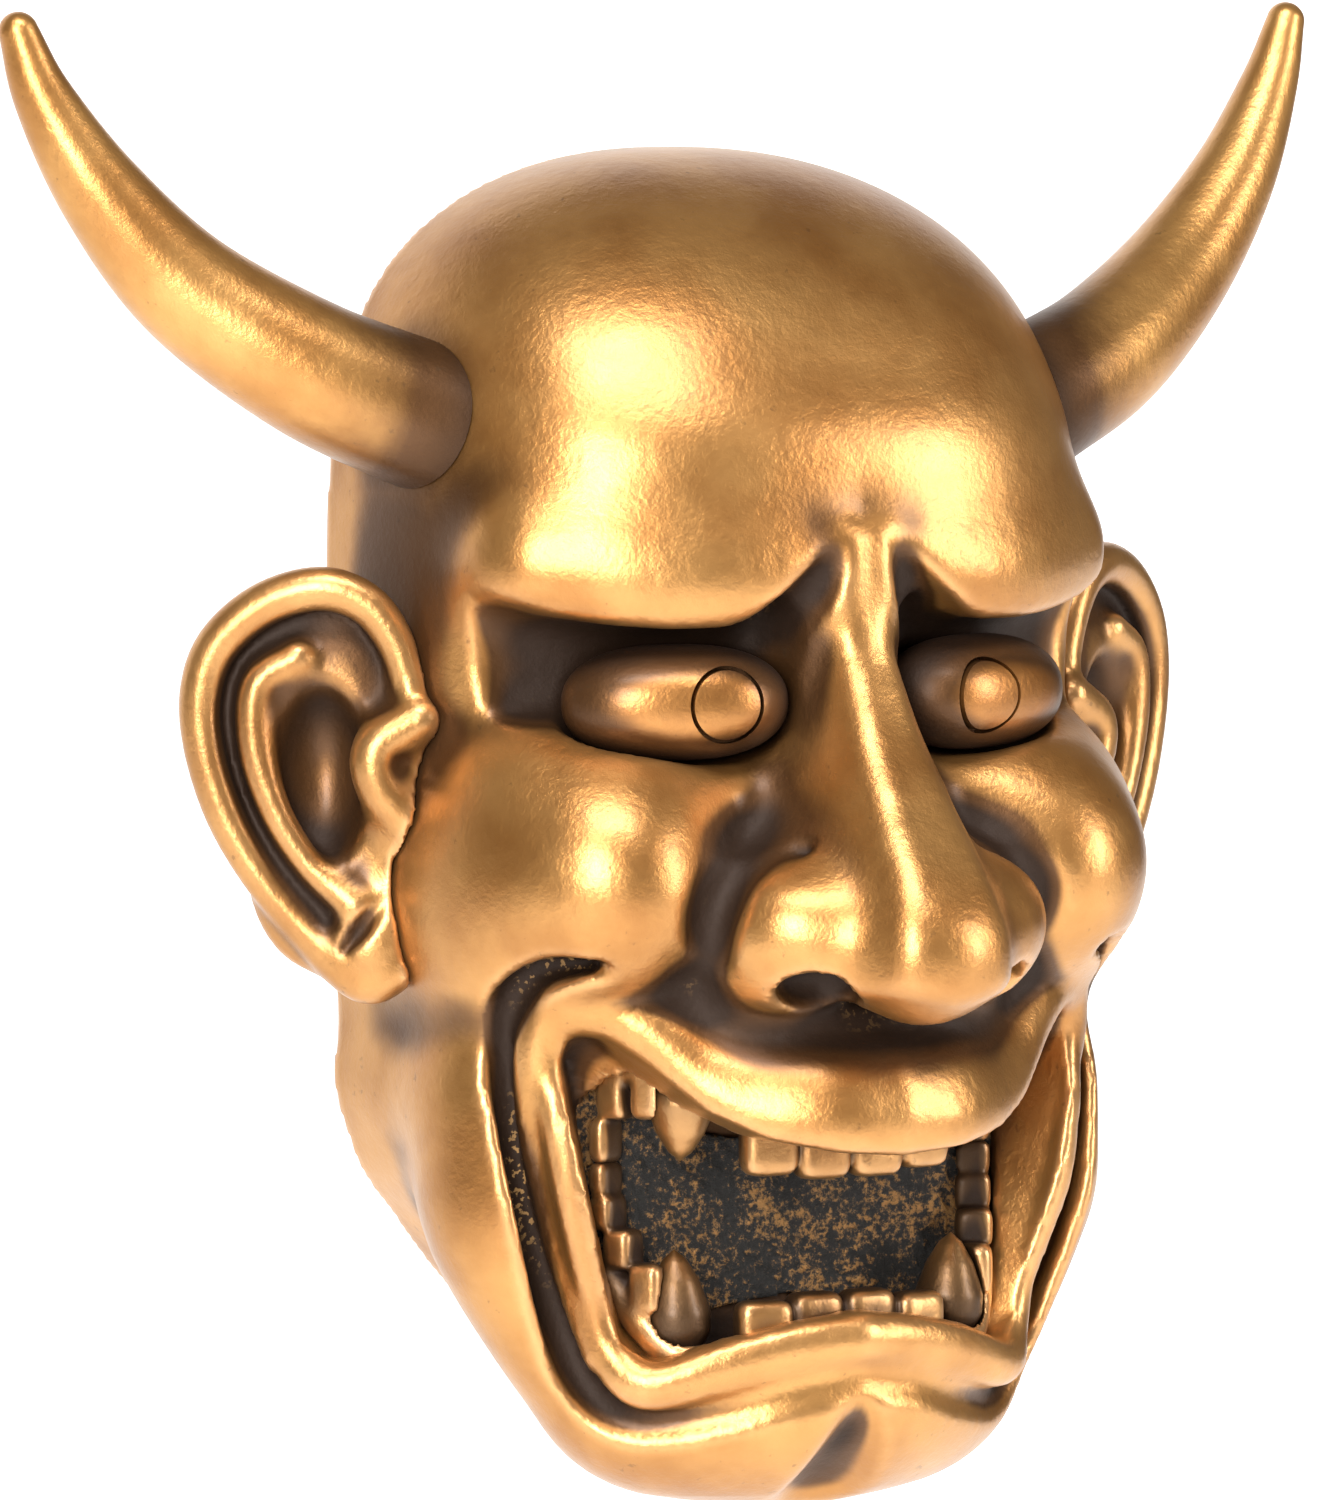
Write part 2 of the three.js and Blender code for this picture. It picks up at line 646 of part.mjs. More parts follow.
// ---------------------------------------------------------------- pieces

const faceSkin = cast(face, FACE_LOW, FACE_HIGH, FACE_CELL);
const grownFace = cast((x, y, z) => face(x, y, z) - GAP * 1.4, FACE_LOW, FACE_HIGH, FACE_CELL);

// The hollow behind the face keeps the wall's thickness from the skin, the eyes and the mouth's pocket.
const EYE_ROOM = ball([31, -57.5, -1.5], [22, 13, 12], 19);
const POCKET_BACK = LINING_BACK - GAP;
const MOUTH_ROOM = slab([0, -30 - POCKET_BACK / STRETCH.y, -92], [52, 30, 35], 4);
const HOLLOW_BACK = 20;
function hollow(x, y, z) {
  const aroundEyes = smoothMax(sculpted(x, y, z), -EYE_ROOM(Math.abs(x), y, z), 6);
  const aroundMouth = smoothMax(aroundEyes, -MOUTH_ROOM(x, y, z), 8);
  return Math.max(aroundMouth + WALL, y - HOLLOW_BACK);
}
const hollowSkin = largest(cast(hollow, FACE_LOW, [84, 30, 108], HOLLOW_CELL));

const wallSide = box([400, 100, 600], [0, WALL_Y + 50, 0]);
const lugTop = (CROWN_Z - 4) * STRETCH.z;
const HINGE_Z = lugTop - LUG.height + HINGE_RISE;
const HOOK_Z = HINGE_Z + RING_LENGTH - RING_WIRE_RADIUS; // the nail, inside the raised ring
const lug = box(
  [LUG.width, LUG.thickness, LUG.height],
  [0, WALL_Y - LUG.recess - LUG.thickness / 2, lugTop - LUG.height / 2],
);

// Room behind the lips for the gums and the roots of the teeth, half of it from the front.
const ROOT_HALF = [
  [0, -67.5], [18, -66.5], [30, -63.5], [40, -61], [48, -64], [49, -82],
  [46, -97], [41, -112], [34, -122], [24, -126], [0, -124],
];

// The arch of the teeth as an upright column, with a clearance.
function archColumn(clearance) {
  const arch = [];
  const steps = 24;
  for (let i = 0; i <= steps; i++) {
    const a = (i / steps - 0.5) * Math.PI;
    const bend = (v) => Math.sign(v) * Math.abs(v) ** (2 / ARCH.power);
    arch.push(
      new THREE.Vector2(
        bend(Math.sin(a)) * (ARCH.half + clearance),
        -bend(Math.cos(a)) * (ARCH.depth + clearance),
      ),
    );
  }
  const column = new THREE.ExtrudeGeometry(new THREE.Shape(arch), { depth: 400, bevelEnabled: false });
  return solid(column.translate(0, 0, -200));
}

function rootCavity() {
  const left = ROOT_HALF.map(([x, z]) => new THREE.Vector2(x * STRETCH.x, z * STRETCH.z));
  const right = left.slice(1, -1).reverse().map((p) => new THREE.Vector2(-p.x, p.y));
  const room = new THREE.ExtrudeGeometry(new THREE.Shape([...left, ...right]), {
    depth: FACE_DEPTH,
    bevelEnabled: false,
  });
  room.rotateX(Math.PI / 2).translate(0, -POCKET_BACK, 0);
  return solid(room).intersect(archColumn(GAP));
}

function shellSolid() {
  let inside = lug;
  for (const side of [-1, 1]) {
    inside = inside.add(hornRod(side, 3, HORN_BOSS_DEPTH, HORN_BOSS_RADIUS));
  }
  let shell = faceSkin.subtract(hollowSkin).add(inside.intersect(faceSkin));
  for (const side of [-1, 1]) {
    shell = shell
      .subtract(hornRod(side, HORN_BOSS_DEPTH, 30, HORN_BOSS_RADIUS))
      .subtract(hornRod(side, -10, HORN_PEG_LENGTH + GAP, HORN_PEG_RADIUS + BORE_GAP))
      .subtract(hornRod(side, 0, 30, HORN_SCREW_RADIUS + BORE_GAP))
      .subtract(eyeSolid(side, GAP))
      .subtract(hangerShank(side, BORE_GAP));
  }
  return shell
    .subtract(mouthPrism(POCKET_BACK, FACE_DEPTH + 5, 0))
    .subtract(rootCavity())
    .subtract(wallSide);
}

// ---------------------------------------------------------------- hanger

const PLATE_FRONT = WALL_Y - LUG.recess + GAP;
const PLATE_BACK = PLATE_FRONT + PLATE.thickness;
const BARREL_RADIUS = RING_WIRE_RADIUS + HINGE_GAP + PLATE.thickness;
const HINGE_Y = PLATE_FRONT + BARREL_RADIUS;

const hangerAt = (side, y) =>
  new THREE.Vector3((HANGER_SCREW_SPACING / 2) * side, y, HINGE_Z + HANGER_SCREW_RISE);
const hangerShank = (side, clearance = 0) =>
  rod(
    hangerAt(side, PLATE_BACK + 0.5),
    hangerAt(side, PLATE_BACK - HANGER_SCREW_LENGTH - clearance),
    HANGER_SCREW_RADIUS + clearance,
    12,
  );
const hangerHead = (side) =>
  rod(
    hangerAt(side, PLATE_BACK + GAP),
    hangerAt(side, PLATE_BACK + GAP + HANGER_HEAD.height),
    HANGER_HEAD.radius,
    16,
  );

// A strip of metal rolled round the ring's straight bar, and screwed to the lug above it.
function plateSolid() {
  const half = RING_WIDTH / 2 - RING_WIRE_RADIUS - 0.75;
  const along = (x) => new THREE.Vector3(x, HINGE_Y, HINGE_Z);
  const strip = box(
    [PLATE.width, PLATE.thickness, PLATE.height],
    [0, PLATE_BACK - PLATE.thickness / 2, HINGE_Z + PLATE.height / 2],
  );
  return strip
    .add(rod(along(-half), along(half), BARREL_RADIUS))
    .subtract(rod(along(-RING_WIDTH), along(RING_WIDTH), RING_WIRE_RADIUS + HINGE_GAP))
    .subtract(hangerShank(-1, BORE_GAP))
    .subtract(hangerShank(1, BORE_GAP));
}

// A wire loop: a straight bar in the barrel and a round bow below it.
function ringSolid() {
  const half = RING_WIDTH / 2;
  const straight = RING_LENGTH - half;
  const at = (x, z) => new THREE.Vector3(x, HINGE_Y, HINGE_Z + z);
  const points = [at(-half, 0), at(-half, -straight * 0.5)];
  const steps = 12;
  for (let i = 0; i <= steps; i++) {
    const a = (i / steps) * Math.PI;
    points.push(at(-half * Math.cos(a), -straight - half * Math.sin(a)));
  }
  points.push(at(half, -straight * 0.5), at(half, 0));
  const section = new THREE.Shape().absarc(0, 0, RING_WIRE_RADIUS, 0, 2 * Math.PI);
  const loop = new THREE.ExtrudeGeometry(section, {
    extrudePath: new THREE.CatmullRomCurve3(points),
    steps: 28,
    curveSegments: 3,
  });
  const reach = half + RING_WIRE_RADIUS;
  return solid(loop).add(rod(at(-reach, 0), at(reach, 0), RING_WIRE_RADIUS, 12));
}

// ---------------------------------------------------------------- the mask

const bronze = { color: 0xc89550, roughness: 0.38, metalness: 0.85 };
const FINISHES = {
  bronze,
  tooth: { ...bronze, color: 0xb5864c, roughness: 0.45 },
  eye: { ...bronze, color: 0xa9783d },
  lining: { color: 0x2a2018, roughness: 0.9, metalness: 0.2 },
  steel: { color: 0x9a9a98, roughness: 0.4, metalness: 1 },
};

const mask = new THREE.Group();
function piece(name, manifold, finish) {
  const mesh = new THREE.Mesh(
    geometryOf(manifold),
    new THREE.MeshStandardMaterial(FINISHES[finish]),
  );
  mesh.name = name;
  mask.add(mesh);
}

piece("face_shell", shellSolid(), "bronze");

const behindLining = box([400, 400, 600], [0, 200 - MOUTH_FLOOR - GAP, 0]);
const fangRoom = (fang, length, up) =>
  fangSolid(fang, length, up, -1, GAP).add(fangSolid(fang, length, up, 1, GAP));
function rowOfTeeth(teeth, gumLine, fangs) {
  let row = gum(gumLine);
  for (const side of [-1, 1]) for (const t of teeth) row = row.add(tooth(t, side));
  return row.subtract(fangs).subtract(behindLining).intersect(archColumn(0));
}
const upperFangs = fangRoom(UPPER_FANG, UPPER_FANG_LENGTH, false);
const lowerFangs = fangRoom(LOWER_FANG, LOWER_FANG_LENGTH, true);
piece("upper_teeth", rowOfTeeth(UPPER_TEETH, UPPER_GUM, upperFangs), "tooth");
piece("lower_teeth", rowOfTeeth(LOWER_TEETH, LOWER_GUM, lowerFangs), "tooth");
piece("mouth_lining", mouthPrism(LINING_BACK, MOUTH_FLOOR, GAP), "lining");

const WASHER_SEAT = HORN_BOSS_DEPTH + GAP; // depths along a horn's axis
const SCREW_SEAT = WASHER_SEAT + WASHER_THICKNESS + GAP;
for (const [hand, side] of [["left", 1], ["right", -1]]) {
  piece(`${hand}_upper_fang`, fangSolid(UPPER_FANG, UPPER_FANG_LENGTH, false, side), "tooth");
  piece(`${hand}_lower_fang`, fangSolid(LOWER_FANG, LOWER_FANG_LENGTH, true, side), "tooth");

  piece(`${hand}_eye`, eyeSolid(side).subtract(pupilRod(side, GAP)), "eye");
  piece(`${hand}_pupil`, pupilRod(side).intersect(eyeSolid(side)), "eye");

  const wholeEar = cast(ear, EAR_LOW, EAR_HIGH, EAR_CELL);
  const earOnItsSide = side > 0 ? wholeEar : wholeEar.mirror([1, 0, 0]);
  piece(`${hand}_ear`, earOnItsSide.subtract(grownFace).subtract(wallSide), "bronze");

  const horn = hornSolid(side)
    .subtract(grownFace)
    .add(hornRod(side, -6, HORN_PEG_LENGTH, HORN_PEG_RADIUS))
    .subtract(hornRod(side, SCREW_SEAT - HORN_SCREW_LENGTH - 1, 30, HORN_SCREW_RADIUS + BORE_GAP));
  piece(`${hand}_horn`, horn, "bronze");
  const washer = hornRod(side, WASHER_SEAT, WASHER_SEAT + WASHER_THICKNESS, WASHER_RADIUS);
  const bore = hornRod(side, 0, 30, HORN_SCREW_RADIUS + BORE_GAP);
  piece(`${hand}_horn_washer`, washer.subtract(bore), "steel");
  const shank = hornRod(side, SCREW_SEAT - HORN_SCREW_LENGTH, SCREW_SEAT + 0.5, HORN_SCREW_RADIUS);
  const head = hornRod(side, SCREW_SEAT, SCREW_SEAT + SCREW_HEAD_HEIGHT, SCREW_HEAD_RADIUS);
  piece(`${hand}_horn_screw`, shank.add(head), "steel");

  piece(`${hand}_hanger_screw`, hangerShank(side).add(hangerHead(side)), "steel");
}

piece("hanger_plate", plateSolid(), "steel");
piece("hanger_ring", ringSolid(), "steel");

mask.position.set(0, -WALL_Y, -HOOK_Z); // the nail meets the wall at the origin

export default mask;
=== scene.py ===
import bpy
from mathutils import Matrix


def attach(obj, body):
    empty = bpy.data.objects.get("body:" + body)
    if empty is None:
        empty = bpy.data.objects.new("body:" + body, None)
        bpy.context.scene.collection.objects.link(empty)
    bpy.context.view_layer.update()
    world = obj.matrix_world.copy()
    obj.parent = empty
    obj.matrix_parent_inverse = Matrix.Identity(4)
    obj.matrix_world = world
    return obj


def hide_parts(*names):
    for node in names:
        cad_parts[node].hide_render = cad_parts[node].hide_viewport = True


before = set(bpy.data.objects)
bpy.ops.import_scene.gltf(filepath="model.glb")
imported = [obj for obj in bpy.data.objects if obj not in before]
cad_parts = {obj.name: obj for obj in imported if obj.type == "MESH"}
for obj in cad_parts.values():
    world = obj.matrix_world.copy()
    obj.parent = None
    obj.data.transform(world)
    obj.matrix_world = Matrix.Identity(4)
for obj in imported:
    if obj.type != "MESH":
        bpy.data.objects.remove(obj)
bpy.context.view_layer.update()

import copy
import math

import bmesh
import bpy
import numpy as np
from mathutils import Vector

# ---------------------------------------------------------------- studio
# The mask hangs in front of a pale seamless paper sweep, lit by big softboxes: a key from the upper left, a
# lower one on the right, and a long strip above. The camera stands well back, to the left of the nose.

aim = Vector((0.0, -0.003, -0.0905))
bearing, rise, away = math.radians(-30), math.radians(4), 2.4
camera_back = Vector(
    (
        math.sin(bearing) * math.cos(rise),
        -math.cos(bearing) * math.cos(rise),
        math.sin(rise),
    )
)
camera_data = bpy.data.cameras.new("camera")
camera_data.lens = 314
camera_data.sensor_width = 36
camera = bpy.data.objects.new("camera", camera_data)
camera.location = aim + camera_back * away
camera.rotation_mode = "QUATERNION"
camera.rotation_quaternion = (-camera_back).to_track_quat("-Z", "Y")
bpy.context.scene.collection.objects.link(camera)
bpy.context.scene.camera = camera


def softbox(name, place, size, power, colour=(1, 1, 1)):
    light = bpy.data.lights.new(name, "AREA")
    light.shape = "RECTANGLE"
    light.size, light.size_y = size
    light.energy = power
    light.color = colour
    lamp = bpy.data.objects.new(name, light)
    lamp.location = place
    lamp.rotation_mode = "QUATERNION"
    lamp.rotation_quaternion = (aim - Vector(place)).to_track_quat("-Z", "Y")
    bpy.context.scene.collection.objects.link(lamp)


softbox("key", (-1.35, -1.5, 0.45), (0.6, 1.25), 62, (1, 0.98, 0.95))
softbox("right", (1.35, -1.5, 0.35), (0.4, 1.2), 30, (1, 0.98, 0.96))
softbox("strip", (-0.4, -0.9, 1.45), (1.2, 0.45), 34)

studio = bpy.data.worlds.new("studio")
studio.use_nodes = True
studio.node_tree.nodes["Background"].inputs["Color"].default_value = (1, 0.96, 0.9, 1)
studio.node_tree.nodes["Background"].inputs["Strength"].default_value = 0.07
bpy.context.scene.world = studio
bpy.context.scene.view_settings.view_transform = "Standard"

FLOOR, BEND_AT, BEND = -0.75, 3.0, 0.8
profile_of_sweep = [(-4.0, FLOOR), (BEND_AT, FLOOR)]
for step in range(1, 13):
    turn = step / 12 * math.pi / 2
    profile_of_sweep.append((BEND_AT + BEND * math.sin(turn), FLOOR + BEND * (1 - math.cos(turn))))
profile_of_sweep.append((BEND_AT + BEND, 4.0))
sweep_points = [(x, y, z) for y, z in profile_of_sweep for x in (-5, 5)]
sweep_faces = [(2 * i, 2 * i + 1, 2 * i + 3, 2 * i + 2) for i in range(len(profile_of_sweep) - 1)]
sweep_mesh = bpy.data.meshes.new("paper_sweep")
sweep_mesh.from_pydata(sweep_points, [], sweep_faces)
sweep = bpy.data.objects.new("paper_sweep", sweep_mesh)
bpy.context.scene.collection.objects.link(sweep)
paper = bpy.data.materials.new("paper")
paper.use_nodes = True
paper_surface = paper.node_tree.nodes["Principled BSDF"]
paper_surface.inputs["Base Color"].default_value = (0.9, 0.9, 0.9, 1)
paper_surface.inputs["Roughness"].default_value = 0.9
paper_surface.inputs["Emission Color"].default_value = (1, 1, 1, 1)
paper_surface.inputs["Emission Strength"].default_value = 0.8
sweep_mesh.materials.append(paper)

# ---------------------------------------------------------------- face
# The face is one hollow casting in resin, sculpted in clay before it was moulded. The clay is a grid of
# distances to the surface: lumps are pressed on and hollows cut with soft edges, and the skin is taken off at
# the end. Lengths are in millimetres from the drawing's zero, a little in front of the wall, at pupil height.

# grid step of the clay, and where the drawing's zero stands from the nail
FINE = 1.35
ZERO = np.array([0.0, -3.0, -75.9])
WALL_PLANE = 3.0


def smooth_min(a, b, blend):
    h = np.maximum(blend - np.abs(a - b), 0) / blend
    return np.minimum(a, b) - h * h * blend / 4


def smooth_max(a, b, blend):
    return -smooth_min(-a, -b, blend)


def ball(centre, radii, turn=0):
    """An egg of clay, turned about the vertical: its distance, and the box that holds it."""
    centre, radii = np.array(centre, float), np.array(radii, float)
    c, s = math.cos(math.radians(turn)), math.sin(math.radians(turn))

    def shape(x, y, z):
        dx, dy, dz = x - centre[0], y - centre[1], z - centre[2]
        qx, qy = c * dx + s * dy, c * dy - s * dx
        reach = np.sqrt((qx / radii[0]) ** 2 + (qy / radii[1]) ** 2 + (dz / radii[2]) ** 2)
        slope = np.sqrt(
            (qx / radii[0] ** 2) ** 2 + (qy / radii[1] ** 2) ** 2 + (dz / radii[2] ** 2) ** 2
        )
        return reach * (reach - 1) / np.maximum(slope, 1e-6)

    flat = max(radii[0], radii[1])
    size = np.array([flat, flat, radii[2]])
    return shape, centre - size, centre + size


def spline(points, steps):
    """A smooth line through the points."""
    p = np.array(points, float)
    p = np.vstack([2 * p[0] - p[1], p, 2 * p[-1] - p[-2]])
    out = []
    for i in range(1, len(p) - 2):
        for t in np.arange(steps) / steps:
            a, b, c, d = p[i - 1 : i + 3]
            out.append(
                0.5
                * (2 * b + (c - a) * t + (2 * a - 5 * b + 4 * c - d) * t**2 + (3 * b - a - 3 * c + d) * t**3)
            )
    out.append(p[-2])
    return np.array(out)


def roll(points, steps=5):
    """A roll of clay through points (x, y, z, radius)."""
    knots = spline(points, steps)

    def shape(x, y, z):
        nearest = None
        for a, b in zip(knots[:-1], knots[1:]):
            d = b[:3] - a[:3]
            along = (x - a[0]) * d[0] + (y - a[1]) * d[1] + (z - a[2]) * d[2]
            t = np.clip(along / max(d @ d, 1e-9), 0, 1)
            gap = np.sqrt(
                (x - a[0] - t * d[0]) ** 2 + (y - a[1] - t * d[1]) ** 2 + (z - a[2] - t * d[2]) ** 2
            )
            gap = gap - a[3] - t * (b[3] - a[3])
            nearest = gap if nearest is None else np.minimum(nearest, gap)
        return nearest

    radius = knots[:, 3:].max()
    return shape, knots[:, :3].min(0) - radius, knots[:, :3].max(0) + radius


def stops(pairs):
    """A value that follows (height, value) stops smoothly."""
    at, value = np.array(pairs, float).T
    slope = np.gradient(value, at)

    def follow(z):
        i = np.clip(np.searchsorted(at, z) - 1, 0, len(at) - 2)
        width = at[i + 1] - at[i]
        t = np.clip((z - at[i]) / width, 0, 1)
        a = value[i] + slope[i] * width * t
        b = value[i + 1] - slope[i + 1] * width * (1 - t)
        return a + (b - a) * t * t * (3 - 2 * t)

    return follow


class Clay:
    """Clay on a grid: each grid point holds its distance to the surface, negative inside."""

    def __init__(self, low, high, cell):
        self.low, self.cell = np.array(low, float), cell
        self.axes = [np.arange(a, b + cell / 2, cell, dtype=np.float32) for a, b in zip(low, high)]
        self.field = np.full([len(a) for a in self.axes], 1e3, np.float32)

    def like(self, field):
        """Other clay on the same grid."""
        other = copy.copy(self)
        other.field = field.astype(np.float32)
        return other

    def grid(self):
        return np.meshgrid(*self.axes, indexing="ij", sparse=True)

    def work(self, lump, blend, remove=False, reach=12):
        shape, low, high = lump
        part = tuple(
            slice(*np.searchsorted(axis, [a - blend - reach, b + blend + reach]))
            for axis, a, b in zip(self.axes, low, high)
        )
        x, y, z = np.meshgrid(*[a[p] for a, p in zip(self.axes, part)], indexing="ij", sparse=True)
        d = shape(x, y, z).astype(np.float32)
        here = self.field[part]
        self.field[part] = -smooth_min(-here, d, blend) if remove else smooth_min(here, d, blend)

    def add(self, lump, blend):
        self.work(lump, blend)

    def cut(self, lump, blend):
        self.work(lump, blend, remove=True)

    def mirror(self):
        """The half from x = 0 outwards becomes the whole."""
        self.field = np.concatenate([self.field[:0:-1], self.field])
        self.axes[0] = np.concatenate([-self.axes[0][:0:-1], self.axes[0]])
        self.low = np.array([self.axes[0][0], self.low[1], self.low[2]])

    def sample(self, points, field=None):
        f = self.field if field is None else field
        q = (points - self.low) / self.cell
        q = np.clip(q, 0, np.array(f.shape) - 1.001)
        i = q.astype(int)
        t = q - i
        total = 0
        for a in (0, 1):
            for b in (0, 1):
                for c in (0, 1):
                    share = (
                        np.abs(1 - a - t[:, 0]) * np.abs(1 - b - t[:, 1]) * np.abs(1 - c - t[:, 2])
                    )
                    total = total + share * f[i[:, 0] + a, i[:, 1] + b, i[:, 2] + c]
        return total

    def normal(self, points, field=None):
        step = self.cell * 0.7
        g = np.stack(
            [
                self.sample(points + step * e, field) - self.sample(points - step * e, field)
                for e in np.eye(3)
            ],
            1,
        )
        return g / np.maximum(np.linalg.norm(g, axis=1, keepdims=True), 1e-9)

    def join_diagonals(self):
        """Clay that meets only across a grid square's diagonal is joined, so no edge has four faces."""
        f = self.field
        for _ in range(8):
            changed = 0
            for m, n in ((0, 1), (1, 2), (2, 0)):
                views = []
                for am, an in ((0, 0), (1, 0), (1, 1), (0, 1)):
                    part = [slice(None)] * 3
                    part[m] = slice(am, f.shape[m] - 1 + am)
                    part[n] = slice(an, f.shape[n] - 1 + an)
                    views.append(f[tuple(part)])
                a, b, c, d = views
                for p, q, r, s in ((a, b, c, d), (b, a, d, c)):
                    bad = (p < 0) & (r < 0) & (q >= 0) & (s >= 0)
                    changed += int(bad.sum())
                    low_q = bad & (q < s)
                    q[low_q] = -0.5 * q[low_q] - 1e-3
                    low_s = bad & ~low_q
                    s[low_s] = -0.5 * s[low_s] - 1e-3
            if not changed:
                return

    def skin(self):
        """Points and four-sided faces of the surface: one point in each cell that it crosses."""
        f = self.field
        inside = f < 0
        n = np.array(f.shape) - 1
        count = np.zeros(n, np.int8)
        offsets = [(a, b, c) for a in (0, 1) for b in (0, 1) for c in (0, 1)]
        for a, b, c in offsets:
            count += inside[a : a + n[0], b : b + n[1], c : c + n[2]]
        active = (count > 0) & (count < 8)
        cells = np.argwhere(active)
        number = np.full(active.shape, -1, np.int64)
        number[active] = np.arange(len(cells))
        total, crossed = np.zeros((len(cells), 3)), np.zeros(len(cells))
        for start in offsets:
            for axis in range(3):
                if start[axis]:
                    continue
                end = list(start)
                end[axis] = 1
                a = f[tuple((cells + start).T)]
                b = f[tuple((cells + end).T)]
                hit = (a < 0) != (b < 0)
                t = np.where(hit, a / np.where(hit, a - b, 1), 0)
                point = np.repeat([start], len(cells), 0).astype(float)
                point[:, axis] += t
                total += np.where(hit[:, None], point, 0)
                crossed += hit
        points = self.low + (cells + total / crossed[:, None]) * self.cell
        faces = []
        for m in range(3):
            one, two = (m + 1) % 3, (m + 2) % 3
            first = np.take(inside, range(n[m]), axis=m)
            second = np.take(inside, range(1, n[m] + 1), axis=m)
            at = np.argwhere(first != second)
            good = (at[:, one] > 0) & (at[:, two] > 0) & (at[:, one] < n[one]) & (at[:, two] < n[two])
            at = at[good]
            step_one, step_two = np.eye(3, dtype=int)[one], np.eye(3, dtype=int)[two]
            shifts = (step_one + step_two, step_two, 0 * step_one, step_one)
            ring = [number[tuple((at - shift).T)] for shift in shifts]
            quad = np.stack(ring, 1)
            outward = inside[tuple(at.T)]
            faces.append(np.where(outward[:, None], quad, quad[:, ::-1]))
        return points, np.concatenate(faces)

    def settle(self, points, rounds=2):
        """Moves skin points onto the surface itself."""
        for _ in range(rounds):
            points = points - self.normal(points) * np.clip(
                self.sample(points), -self.cell, self.cell
            )[:, None]
        return points

    def crowding(self, points, radius):
        """How much clay lies round each point: half on a plain surface, more in a hollow, less on an edge."""
        solid = np.clip(0.5 - self.field / self.cell, 0, 1)
        cells = max(int(round(radius / self.cell / 1.4)), 1)
        for axis in (0, 1, 2) * 2:
            pad = [(cells + 1, cells) if a == axis else (0, 0) for a in range(3)]
            run = np.cumsum(np.pad(solid, pad, mode="edge"), axis=axis, dtype=np.float32)
            width = 2 * cells + 1
            ahead = np.take(run, range(width, run.shape[axis]), axis=axis)
            behind = np.take(run, range(run.shape[axis] - width), axis=axis)
            solid = (ahead - behind) / width
        return self.sample(points, solid)


# the plain head: rounded-square sections that close over the crown and under the chin
half_width_at = stops(
    [
        (-147, 15), (-132, 27), (-115, 41), (-98, 55), (-82, 65),
        (-60, 67), (-20, 70), (20, 69.5), (60, 71), (96, 71),
    ]
)
depth_at = stops(
    [(-147, 66), (-120, 67), (-95, 67), (-60, 62), (-20, 60), (8, 66), (30, 71), (60, 68), (96, 56)]
)
squareness_at = stops([(-147, 2.4), (-90, 3.6), (-60, 3.3), (-20, 2.8), (40, 2.7), (96, 2.3)])

face = Clay((0, -118, -156), (84, 15, 108), FINE)
x, y, z = face.grid()
n = squareness_at(z)
MIDDLE, TO_CROWN, TO_CHIN = -20, 116, -127
t = np.where(z > MIDDLE, (z - MIDDLE) / TO_CROWN, (z - MIDDLE) / TO_CHIN)
plain = (
    np.abs(x / half_width_at(z)) ** n
    + np.abs(y / depth_at(z)) ** n
    + np.abs(t) ** np.where(z > MIDDLE, 4.2, 14)
) ** (1 / n) - 1
steep = np.sqrt(sum(g**2 for g in np.gradient(plain, FINE)))
face.field = (plain / np.maximum(steep, 1 / 120)).astype(np.float32)


def outline(corners):
    """The signed distance from a closed outline of (x, z) corners, as a column along y."""
    p = np.array(corners, float)
    q = np.roll(p, -1, axis=0)

    def flat(x, z):
        nearest, within = None, False
        for (ax, az), (bx, bz) in zip(p, q):
            dx, dz = bx - ax, bz - az
            t = np.clip(((x - ax) * dx + (z - az) * dz) / (dx * dx + dz * dz), 0, 1)
            gap = (x - ax - t * dx) ** 2 + (z - az - t * dz) ** 2
            nearest = gap if nearest is None else np.minimum(nearest, gap)
            spans = (az > z) != (bz > z)
            level = ax + (z - az) * dx / (dz if dz else 1e-9)
            within = within ^ (spans & (x < level))
        return np.sqrt(nearest) * np.where(within, -1, 1)

    return flat


def wedge(stations, blend):
    """A wedge along z: (height, base depth, ridge depth, base half width, ridge half width) stations."""
    s = np.array(stations, float)
    base_at, ridge_at, wide_at, narrow_at = (stops(list(zip(s[:, 0], s[:, i]))) for i in range(1, 5))

    def shape(x, y, z):
        base, ridge, wide, narrow = base_at(z), ridge_at(z), wide_at(z), narrow_at(z)
        lean = (wide - narrow) / (ridge - base)
        side = (np.abs(x) - narrow - lean * (ridge + y)) / np.sqrt(1 + lean**2)
        front = (-y - ridge) * 0.85
        return smooth_max(
            smooth_max(side, front, blend), np.maximum(z - s[-1, 0], s[0, 0] - z), blend
        )

    reach = s[:, 3].max()
    return shape, np.array([-reach, -s[:, 2].max(), s[0, 0]]), np.array([reach, 0, s[-1, 0]])


# brow ridge and eye hollow, with the frown groove beside the root of the nose
face.add(roll([[8, -64, 22, 6], [30, -60, 20, 8.5], [54, -47, 23, 8]]), 14)
socket_flat = outline(
    [
        (64, 18), (55, 14.5), (45, 12.8), (36, 12), (27, 12.2), (20, 14), (14, 18), (9.5, 14),
        (9, 4), (10, -6), (15, -11), (26, -13), (40, -12), (52, -11), (61, -7), (65, 3),
    ]
)


def socket_back(x, y):
    return (y + 55 - 0.36 * (x - 16)) * 0.94


